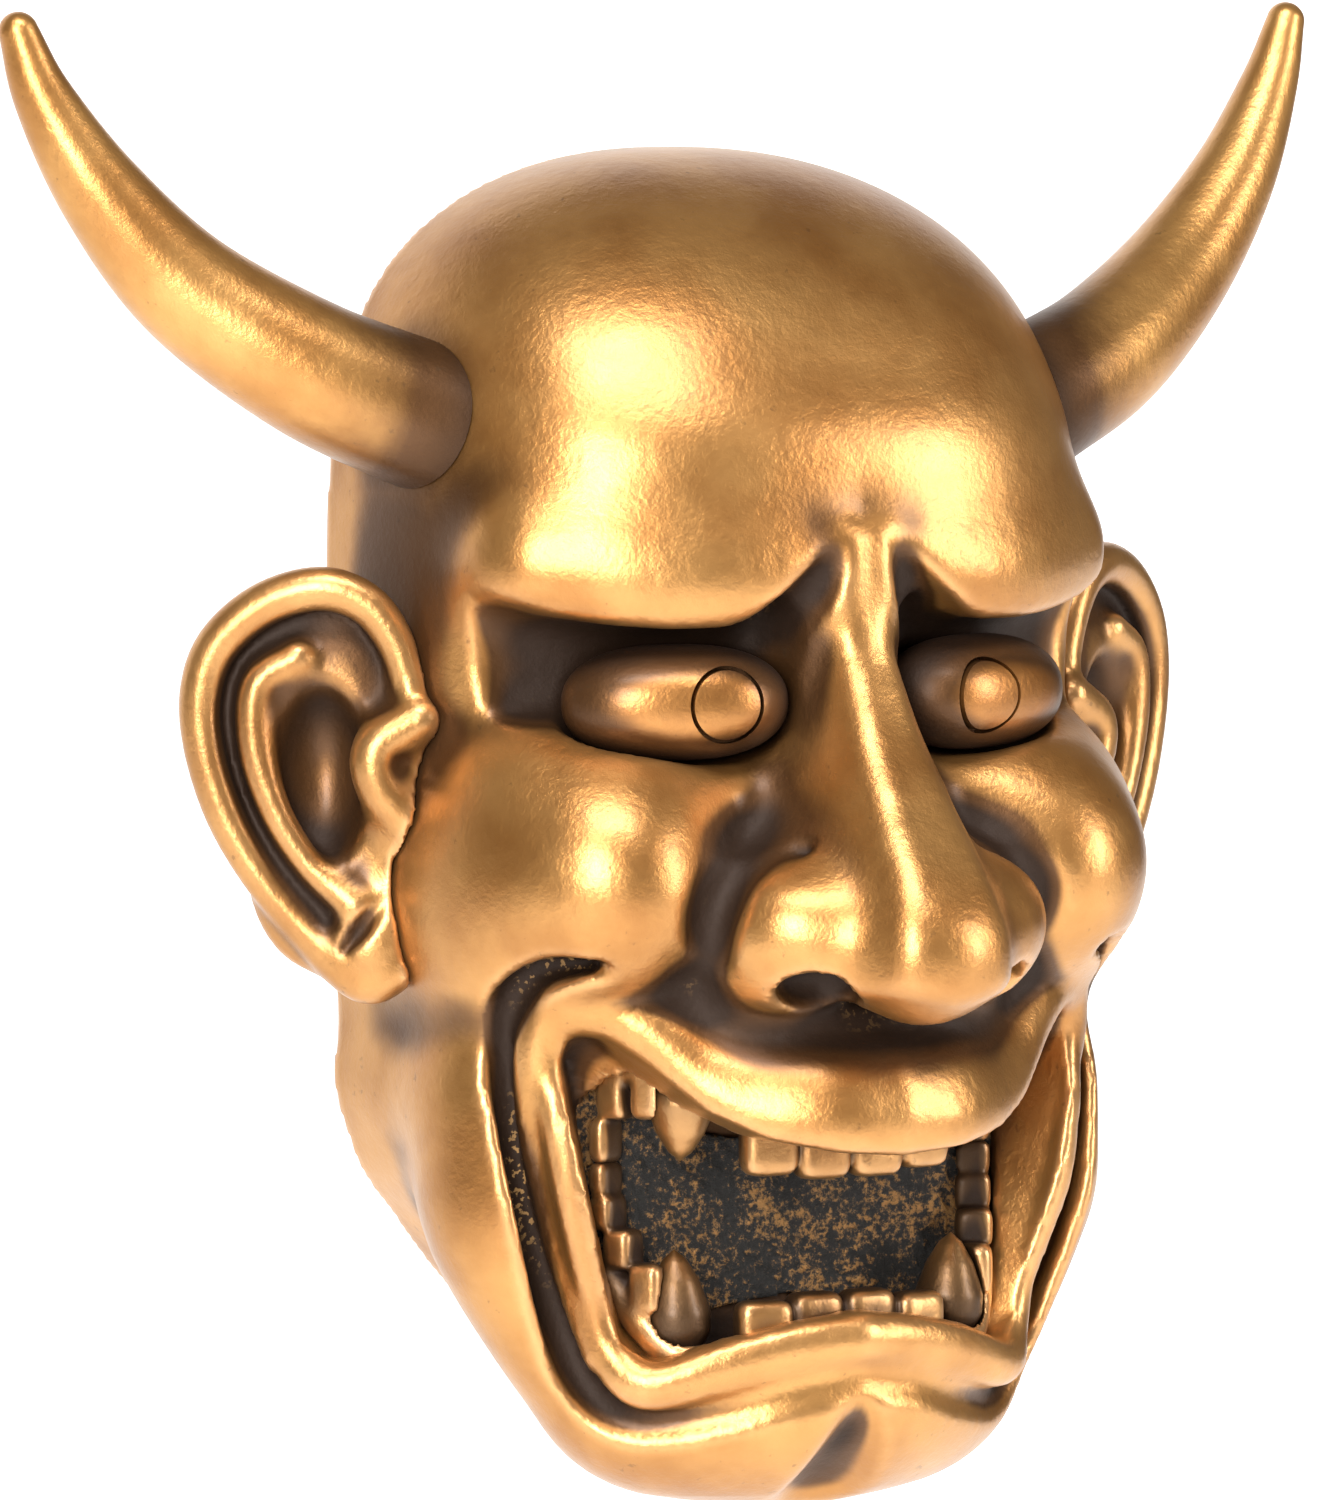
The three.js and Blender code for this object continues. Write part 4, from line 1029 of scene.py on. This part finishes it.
for hand, side in (("left", 1), ("right", -1)):
    turned = ear_faces if side > 0 else ear_faces[:, ::-1]
    lobe = piece_from(hand + "_ear", ear_points * (side, 1, 1), turned)
    # the ear darkens in its bowl and folds, with the patina wash, and where it stands against the head
    # (root_shadow): painted shade
    note(lobe, "hollow", np.clip((ear_wide - 0.36) * 1.9 + root_shadow * 0.5, -1, 1))
    note(lobe, "crease", np.clip((ear_close - 0.48) * 2.2, -1, 1))
    note(lobe, "edge", np.clip((ear_fine - 0.5) * 4.0, -1, 1))
    paint(lobe, ear_paint)
    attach(lobe, "mask")
    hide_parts(hand + "_ear")

# ---------------------------------------------------------------- horns
# Each horn is a tapering casting, bent like a bull's, with a round peg that stands in a blind hole in the
# head. A screw from behind pulls it down on to the skin.

HORN_BEND = [(84, -18, 58), (104, -10.5, 72), (119, -6.5, 89), (129, -3.2, 106), (133.5, -2, 118)]
HORN_THICK, HORN_THIN, TIP_STEPS = 13.5, 3.6, 9


def sweep_tree():
    """Sweeps a round section along the piece's own path, as thick as its "thickness" says."""
    tree = bpy.data.node_groups.new("sweep", "GeometryNodeTree")
    sockets = tree.interface
    sockets.new_socket("Geometry", in_out="INPUT", socket_type="NodeSocketGeometry")
    sides = sockets.new_socket("Sides", in_out="INPUT", socket_type="NodeSocketInt")
    finish = sockets.new_socket("Material", in_out="INPUT", socket_type="NodeSocketMaterial")
    sockets.new_socket("Geometry", in_out="OUTPUT", socket_type="NodeSocketGeometry")
    new, link = tree.nodes.new, tree.links.new
    given, result = new("NodeGroupInput"), new("NodeGroupOutput")
    path = new("GeometryNodeMeshToCurve")
    link(given.outputs["Geometry"], path.inputs[0])
    tilt = new("GeometryNodeSetCurveNormal")
    link(path.outputs[0], tilt.inputs[0])
    thickness = new("GeometryNodeInputNamedAttribute")
    thickness.data_type = "FLOAT"
    thickness.inputs["Name"].default_value = "thickness"
    radius = new("GeometryNodeSetCurveRadius")
    radius.inputs["Radius"].default_value = 1
    link(tilt.outputs[0], radius.inputs["Curve"])
    section = new("GeometryNodeCurvePrimitiveCircle")
    section.inputs["Radius"].default_value = 1
    link(given.outputs["Sides"], section.inputs["Resolution"])
    sweep = new("GeometryNodeCurveToMesh")
    link(radius.outputs[0], sweep.inputs["Curve"])
    link(section.outputs[0], sweep.inputs["Profile Curve"])
    sweep.inputs["Fill Caps"].default_value = True
    link(thickness.outputs["Attribute"], sweep.inputs["Scale"])
    real = new("GeometryNodeRealizeInstances")
    link(sweep.outputs[0], real.inputs[0])
    coat = new("GeometryNodeSetMaterial")
    link(real.outputs[0], coat.inputs["Geometry"])
    link(given.outputs["Material"], coat.inputs["Material"])
    link(coat.outputs[0], result.inputs[0])
    return tree, sides.identifier, finish.identifier


SWEEP, SWEEP_SIDES, SWEEP_FINISH = sweep_tree()


def swept(name, path, thickness, sides, finish, closed=False):
    """A piece with a round section, swept along a path."""
    path = np.array(path, float)
    count = len(path)
    edges = [(i, i + 1) for i in range(count - 1)] + ([(count - 1, 0)] if closed else [])
    mesh = bpy.data.meshes.new(name)
    mesh.from_pydata(((path + ZERO) / 1000).tolist(), edges, [])
    made = bpy.data.objects.new(name, mesh)
    bpy.context.scene.collection.objects.link(made)
    note(made, "thickness", np.asarray(thickness, float) / 1000)
    modifier = made.modifiers.new("sweep", "NODES")
    modifier.node_group = SWEEP
    modifier[SWEEP_SIDES] = sides
    modifier[SWEEP_FINISH] = finish
    settle_modifiers(made)
    turn_outward(made)
    return made


def turn_outward(piece):
    """Joins points that lie together, and turns every face outwards."""
    work = bmesh.new()
    work.from_mesh(piece.data)
    bmesh.ops.remove_doubles(work, verts=work.verts, dist=1e-6)
    bmesh.ops.recalc_face_normals(work, faces=work.faces)
    work.to_mesh(piece.data)
    work.free()


horn_paint = bronze_paint("horn_paint", gold=(0.54, 0.28, 0.085))
grown_head = outside.like(outside.field - GLUE)
grown_head.join_diagonals()
head_points, head_faces = grown_head.skin()
for hand, side in (("left", 1), ("right", -1)):
    path = spline([HORN_BURIED, HORN_ROOT, *HORN_BEND], 16) * (side, 1, 1)
    run = np.r_[0, np.cumsum(np.linalg.norm(np.diff(path, axis=0), axis=1))]
    share = run / run[-1]
    thick = HORN_THICK + (HORN_THIN - HORN_THICK) * share**1.7
    last = path[-1] - path[-2]
    last /= np.linalg.norm(last)
    for turn in range(1, TIP_STEPS + 1):
        a = turn / TIP_STEPS * math.pi / 2
        path = np.vstack([path, path[len(run) - 1] + last * HORN_THIN * math.sin(a)])
        thick = np.r_[thick, max(HORN_THIN * math.cos(a), 0.05)]
    horn = swept(hand + "_horn", path, thick, 48, horn_paint)
    carve(horn, piece_from("head", head_points, head_faces))
    peg = rod(horn_axis(side, -6), horn_axis(side, 4.5), 5, 40)
    carve(horn, peg, "UNION")
    carve(horn, rod(horn_axis(side, -4.4), horn_axis(side, 30), 2.1, 24))
    at = points_of(horn)
    way = np.argmin(((at[:, None, :] - path[None, ::2, :]) ** 2).sum(2), axis=1) * 2
    ahead = path[np.minimum(way + 1, len(path) - 1)] - path[way - 1]
    ahead /= np.linalg.norm(ahead, axis=1, keepdims=True)
    along = np.r_[run, [run[-1]] * TIP_STEPS][way] + ((at - path[way]) * ahead).sum(1)
    lean = (at - path[way]) / np.maximum(thick[way], 0.1)[:, None]
    # the horn darkens towards its root, partly patina wash and partly painted shade where it meets the head;
    # the lean terms paint shade on its back and upper side
    dark_root = np.clip(0.42 - along / 90, -0.12, 0.42)
    note(horn, "hollow", dark_root + 0.10 * lean[:, 1] + 0.08 * lean[:, 2])
    note(horn, "crease", np.clip(0.4 - along / 40, 0, 0.4))
    note(horn, "edge", np.zeros(len(at)))
    horn.data.shade_smooth()
    horn.data.set_sharp_from_angle(angle=math.radians(50))
    paint(horn, horn_paint)
    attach(horn, "mask")
    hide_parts(hand + "_horn")

# ---------------------------------------------------------------- teeth
# Each row of teeth is cast in one with its gum and glued in behind the lip. The four fangs are cast singly
# and stand in notches in the gums.

# each tooth of one half: its place across and up, its width and its height
UPPER_TEETH = [
    (5.5, -81, 10.8, 13), (16.4, -80, 10.6, 13), (36.5, -71.5, 6.8, 10), (40.4, -72, 6.4, 9.5),
    (41.8, -80.5, 5.8, 8.5),
]
LOWER_TEETH = [
    (5.5, -113, 10.8, 10), (16.5, -114, 10.8, 10), (36.8, -107, 6.6, 9.5), (39.8, -100, 6.2, 7.5),
    (41.4, -93.6, 5.8, 6.8), (41.8, -87.5, 5.8, 6.2),
]
UPPER_GUM = [(0, -72), (12, -72), (22, -71), (29, -68.5), (35, -67.5), (39, -69), (41.5, -76)]
LOWER_GUM = [
    (0, -119), (12, -120), (21, -121), (29, -119.5), (34.5, -113), (38.5, -104), (41.8, -96), (42.6, -88),
]
FANG_X, FANG_RADIUS = 28.4, 5.8
LINING_FRONT = 45


def set_back(x, up):
    """How far the lower row, which points up, stands behind the arch."""
    return max(3 - x / 12, 0) if up else 0


def tooth(x, z, width, height, side, inset):
    """A rounded block standing on the arch, or behind it by the inset."""
    step = 0.5
    slope = -math.atan((arch_depth(x * side + step) - arch_depth(x * side - step)) / (2 * step))
    c, s = math.cos(slope), math.sin(slope)
    half = np.array([width / 2 - 0.15, 3.4, height / 2])
    centre = np.array([x * side, -arch_depth(x, inset), z]) + np.array([-s, c, 0]) * 3.4

    def shape(px, py, pz):
        dx, dy, dz = px - centre[0], py - centre[1], pz - centre[2]
        qx, qy = np.abs(c * dx + s * dy) / half[0], np.abs(c * dy - s * dx) / half[1]
        qz = np.abs(dz) / half[2]
        return ((qx**5 + qy**3.2 + qz**5) ** (1 / 4.6) - 1) * half.min() * 0.9

    size = np.array([8.0, 8.0, height / 2])
    return shape, centre - size, centre + size


def fang_profile(length):
    h = np.linspace(0, 1, 22)
    swell = np.interp(h, [0, 0.13, 0.35, 0.68, 0.9, 1], [0.86, 1.06, 1.08, 0.74, 0.36, 0.0])
    return h * length, np.maximum(swell * FANG_RADIUS, 0.04)


def fang_line(side, root, length, up, lean):
    direction = np.array([math.sin(math.radians(lean)) * side, 0, 1 if up else -1])
    start = np.array([FANG_X * side, -arch_depth(FANG_X, FANG_RADIUS + (1 if up else 0)), root])
    h, r = fang_profile(length)
    return start + h[:, None] * direction, r


tooth_paint = bronze_paint("tooth_paint", gold=(0.44, 0.235, 0.085), umber=(0.08, 0.042, 0.018))
for name, teeth, gum, root, length, up, lean in (
    ("upper", UPPER_TEETH, UPPER_GUM, -69, 15, False, 1),
    ("lower", LOWER_TEETH, LOWER_GUM, -117, 17, True, 2),
):
    row = Clay((-48, -73, -127), (48, -42, -60), 0.62)
    line = [[a, -arch_depth(a, 3.2 + set_back(a, up)), b, 3.5] for a, b in gum]
    row.add(roll([[-a, b, c, r] for a, b, c, r in line[:0:-1]] + line, 3), 0.1)
    for side in (-1, 1):
        for t in teeth:
            row.add(tooth(*t, side, set_back(t[0], up)), 0.7)
    for side in (-1, 1):
        path, radii = fang_line(side, root, length, up, lean)
        for i in range(0, len(path) - 1, 3):
            j = min(i + 3, len(path) - 1)
            row.cut(roll([[*path[i], radii[i] + 0.3], [*path[j], radii[j] + 0.3]], 1), 0.3)
    row.field = np.maximum(row.field, row.grid()[1] + LINING_FRONT + 0.3).astype(np.float32)
    row.join_diagonals()
    row_points, row_faces = row.skin()
    row_points = row.settle(row_points, 1)
    gums = piece_from(name + "_teeth", row_points, row_faces)
    close, fine = row.crowding(row_points, 2.6), row.crowding(row_points, 1.2)
    # the rows darken towards the back of the arch and the corners, the lower row more, as painted shade
    # inside the mouth; crease darkens the gaps between teeth with painted shade and wash
    far_back = np.clip((arch_depth(row_points[:, 0]) + row_points[:, 1] - 1.5) / 7, 0, 0.5)
    side_shade = np.clip((np.abs(row_points[:, 0]) - 30) / 50, 0, 0.3)
    base = 0.04 if name == "upper" else 0.12
    note(gums, "hollow", base + far_back + side_shade * (0.6 if name == "upper" else 1))
    note(gums, "crease", np.clip((close - 0.5) * 3.2, -0.6, 1.2))
    note(gums, "edge", np.clip((fine - 0.5) * 4.0, -1, 1))
    paint(gums, tooth_paint)
    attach(gums, "mask")
    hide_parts(name + "_teeth")
    for hand, side in (("left", 1), ("right", -1)):
        path, radii = fang_line(side, root, length, up, lean)
        fang = swept(f"{hand}_{name}_fang", path, radii, 40, tooth_paint)
        at = points_of(fang)
        # each fang darkens towards its root in the gum, the lower pair more: painted shade with the wash
        rise_in = np.clip(np.abs(at[:, 2] - root) / length, 0, 1)
        note(fang, "hollow", (0.34 if up else 0.2) - rise_in * 0.25)
        note(fang, "crease", np.clip(0.5 - rise_in * 2.0, 0, 0.5))
        note(fang, "edge", np.zeros(len(at)))
        fang.data.shade_smooth()
        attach(fang, "mask")
        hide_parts(f"{hand}_{name}_fang")

# ---------------------------------------------------------------- mouth lining
# A black plate closes the back of the mouth. Its front is stippled rough, and gold paint has caught on it.

LINING_BACK = 43
lining = Clay((-56, -48, -122), (56, -40, -56), 0.8)
lx, ly, lz = lining.grid()
stipple = (
    0.35 * np.sin(lx * 2.1 + 1.3 * np.sin(lz * 1.7)) * np.sin(lz * 2.3 + 1.1 * np.sin(lx * 1.9))
    + 0.25 * np.sin(lx * 0.9 + lz * 1.3)
)
flat_mouth = mouth_flat(lx, lz) + 0.4
lining.field = np.maximum(
    flat_mouth + 0 * ly, np.maximum(-ly - LINING_FRONT + 0.6 + stipple, ly + LINING_BACK)
).astype(np.float32)
lining.join_diagonals()
back_wall = piece_from("mouth_lining", *lining.skin())
stippled = bpy.data.materials.new("stippled_black")
p = Nodes(stippled)
crumbs, patches = p.noise(700, 5, 0.75), p.noise(90, 2, 0.5)
catch = p.math("ADD", p.math("MULTIPLY", crumbs, 0.7), p.math("MULTIPLY", patches, 0.3))
caught = p.ramp(catch, 0.5, 0.6)
p.feed(p.surface.inputs["Base Color"], p.mix(caught, (0.004, 0.003, 0.002, 1), (0.34, 0.18, 0.065, 1)))
p.feed(p.surface.inputs["Metallic"], p.math("MULTIPLY", caught, 0.8))
p.feed(p.surface.inputs["Roughness"], p.ramp(catch, 0.4, 0.6, 0.75, 0.45))
rough_bump = p.make("Bump", {"Height": catch, "Strength": 0.8, "Distance": 0.0016})
p.feed(p.surface.inputs["Normal"], rough_bump.outputs["Normal"])
paint(back_wall, stippled)
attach(back_wall, "mask")
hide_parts("mouth_lining")

# ---------------------------------------------------------------- horn fixings
# A pan-head screw with a plain washer holds each horn from inside the head. Both are zinc-plated steel.


def metal(name, colour, rough):
    """Plated steel, a little duller in patches."""
    material = bpy.data.materials.new(name)
    p = Nodes(material)
    dull = tuple(c * 0.8 for c in colour[:3]) + (1,)
    p.feed(p.surface.inputs["Base Color"], p.mix(p.ramp(p.noise(300, 4, 0.6), 0.4, 0.65), colour, dull))
    p.surface.inputs["Metallic"].default_value = 1
    p.feed(p.surface.inputs["Roughness"], p.ramp(p.noise(150, 4, 0.6), 0.3, 0.7, rough, rough + 0.15))
    return material


zinc = metal("zinc_plate", (0.62, 0.62, 0.6, 1), 0.28)
screw_zinc = metal("screw_plate", (0.5, 0.49, 0.47, 1), 0.32)


def thread(length, radius):
    """Ridges round the shank, 1 mm apart."""
    h = np.arange(0, length, 0.25)
    return h, radius - 0.22 * np.abs((h % 1) * 2 - 1)


def screw(name, seat, into, length, radius, head_radius, head_height):
    """A pan-head screw swept along its own axis from point to head, with a cross cut in the head."""
    h, r = thread(length, radius)
    tip = np.minimum(1, 0.25 + h / 3)
    dome = np.linspace(0, 1, 8)
    along = np.r_[h, length, length + 0.02, length + head_height * (0.35 + 0.65 * dome)]
    crown = np.maximum(np.sqrt(np.clip(1 - (dome * 0.98) ** 2.6, 0, 1)), 0.05)
    thick = np.r_[r * tip, radius, head_radius, head_radius * crown]
    path = seat + into * (length - along)[:, None]
    made = swept(name, path, thick, 32, screw_zinc)
    side = np.cross(into, [0, 0, 1.0])
    side /= np.linalg.norm(side)
    over = np.cross(side, into)
    for across in (side, over):
        top = seat - into * (head_height + 0.2)
        reach = across * head_radius * 0.55
        carve(made, rod(top - reach, top + reach, head_height * 0.42, 4))
    made.data.shade_smooth()
    made.data.set_sharp_from_angle(angle=math.radians(35))
    paint(made, screw_zinc)
    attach(made, "mask")
    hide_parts(name)


for hand, side in (("left", 1), ("right", -1)):
    outward = -horn_inward * (side, 1, 1)
    screw(hand + "_horn_screw", horn_axis(side, 10.6), outward, 14, 1.8, 3.6, 2.2)
    washer = rod(horn_axis(side, 9.3), horn_axis(side, 10.3), 5.5, 48)
    washer.name = hand + "_horn_washer"
    carve(washer, rod(horn_axis(side, 5), horn_axis(side, 15), 2.1, 32))
    edge = washer.modifiers.new("edge", "BEVEL")
    edge.width, edge.segments, edge.angle_limit = 0.00015, 2, math.radians(40)
    settle_modifiers(washer)
    washer.data.shade_smooth()
    washer.data.set_sharp_from_angle(angle=math.radians(35))
    paint(washer, zinc)
    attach(washer, "mask")
    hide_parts(hand + "_horn_washer")

# ---------------------------------------------------------------- hanger
# The mask hangs on a nail by a D-shaped wire ring. Its straight bar turns in the rolled edge of a zinc-plated
# steel strip, which two screws hold to the lug inside the crown.

HINGE_Z, PLATE_FRONT, PLATE_THICK = 62.0, -2.7, 1.2
WIRE, HINGE_GAP, RING_HALF = 1.1, 0.08, 9.0
BARREL = WIRE + HINGE_GAP + PLATE_THICK
HINGE_Y = PLATE_FRONT + BARREL

strip_mesh = bpy.data.meshes.new("hanger_plate")
plate_half, strip_low, strip_high = 8.0, HINGE_Z, HINGE_Z + 20
corner = 2.0
strip_edge = [(-plate_half, strip_low), (plate_half, strip_low)]
for hand, first in ((1, 0), (-1, 90)):
    for step in range(7):
        a = math.radians(first + step * 15)
        across = hand * (plate_half - corner) + corner * math.cos(a)
        strip_edge.append((across, strip_high - corner + corner * math.sin(a)))
count = len(strip_edge)
strip_points = [(a, y, b) for y in (PLATE_FRONT, PLATE_FRONT + PLATE_THICK) for a, b in strip_edge]
strip_faces = [list(range(count)), list(range(count, 2 * count))[::-1]]
strip_faces += [[(i + 1) % count, i, i + count, (i + 1) % count + count] for i in range(count)]
strip_mesh.from_pydata(((np.array(strip_points) + ZERO) / 1000).tolist(), [], strip_faces)
plate = bpy.data.objects.new("hanger_plate", strip_mesh)
bpy.context.scene.collection.objects.link(plate)
turn_outward(plate)
half_barrel = RING_HALF - WIRE - 0.75
carve(plate, rod((-half_barrel, HINGE_Y, HINGE_Z), (half_barrel, HINGE_Y, HINGE_Z), BARREL, 48), "UNION")
carve(plate, rod((-20, HINGE_Y, HINGE_Z), (20, HINGE_Y, HINGE_Z), WIRE + HINGE_GAP, 48))
for side in (-1, 1):
    carve(plate, rod((SCREW_X * side, -8, SCREW_Z), (SCREW_X * side, 4, SCREW_Z), 1.8, 32))
bevel = plate.modifiers.new("edge", "BEVEL")
bevel.width, bevel.segments, bevel.limit_method, bevel.angle_limit = 0.00015, 2, "ANGLE", math.radians(50)
settle_modifiers(plate)
plate.data.shade_smooth()
plate.data.set_sharp_from_angle(angle=math.radians(35))
paint(plate, zinc)
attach(plate, "mask")
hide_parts("hanger_plate")

for hand, side in (("left", 1), ("right", -1)):
    seat = np.array([SCREW_X * side, -1.2, SCREW_Z])
    screw(hand + "_hanger_screw", seat, np.array([0, -1.0, 0]), 7, 1.5, 2.6, 1.4)

straight = 15 - RING_HALF
bow = [(-RING_HALF, 0), (-RING_HALF, -straight * 0.5)]
for step in range(37):
    a = step / 36 * math.pi
    bow.append((-RING_HALF * math.cos(a), -straight - RING_HALF * math.sin(a)))
bow += [(RING_HALF, -straight * 0.5), (RING_HALF, 0)]
bow += [(RING_HALF * (1 - 2 * t), 0) for t in np.linspace(0, 1, 9)[1:-1]]
path = [(a, HINGE_Y, HINGE_Z + b) for a, b in bow]
ring = swept("hanger_ring", path, [WIRE] * len(path), 24, zinc, closed=True)
ring.data.shade_smooth()
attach(ring, "ring")
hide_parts("hanger_ring")
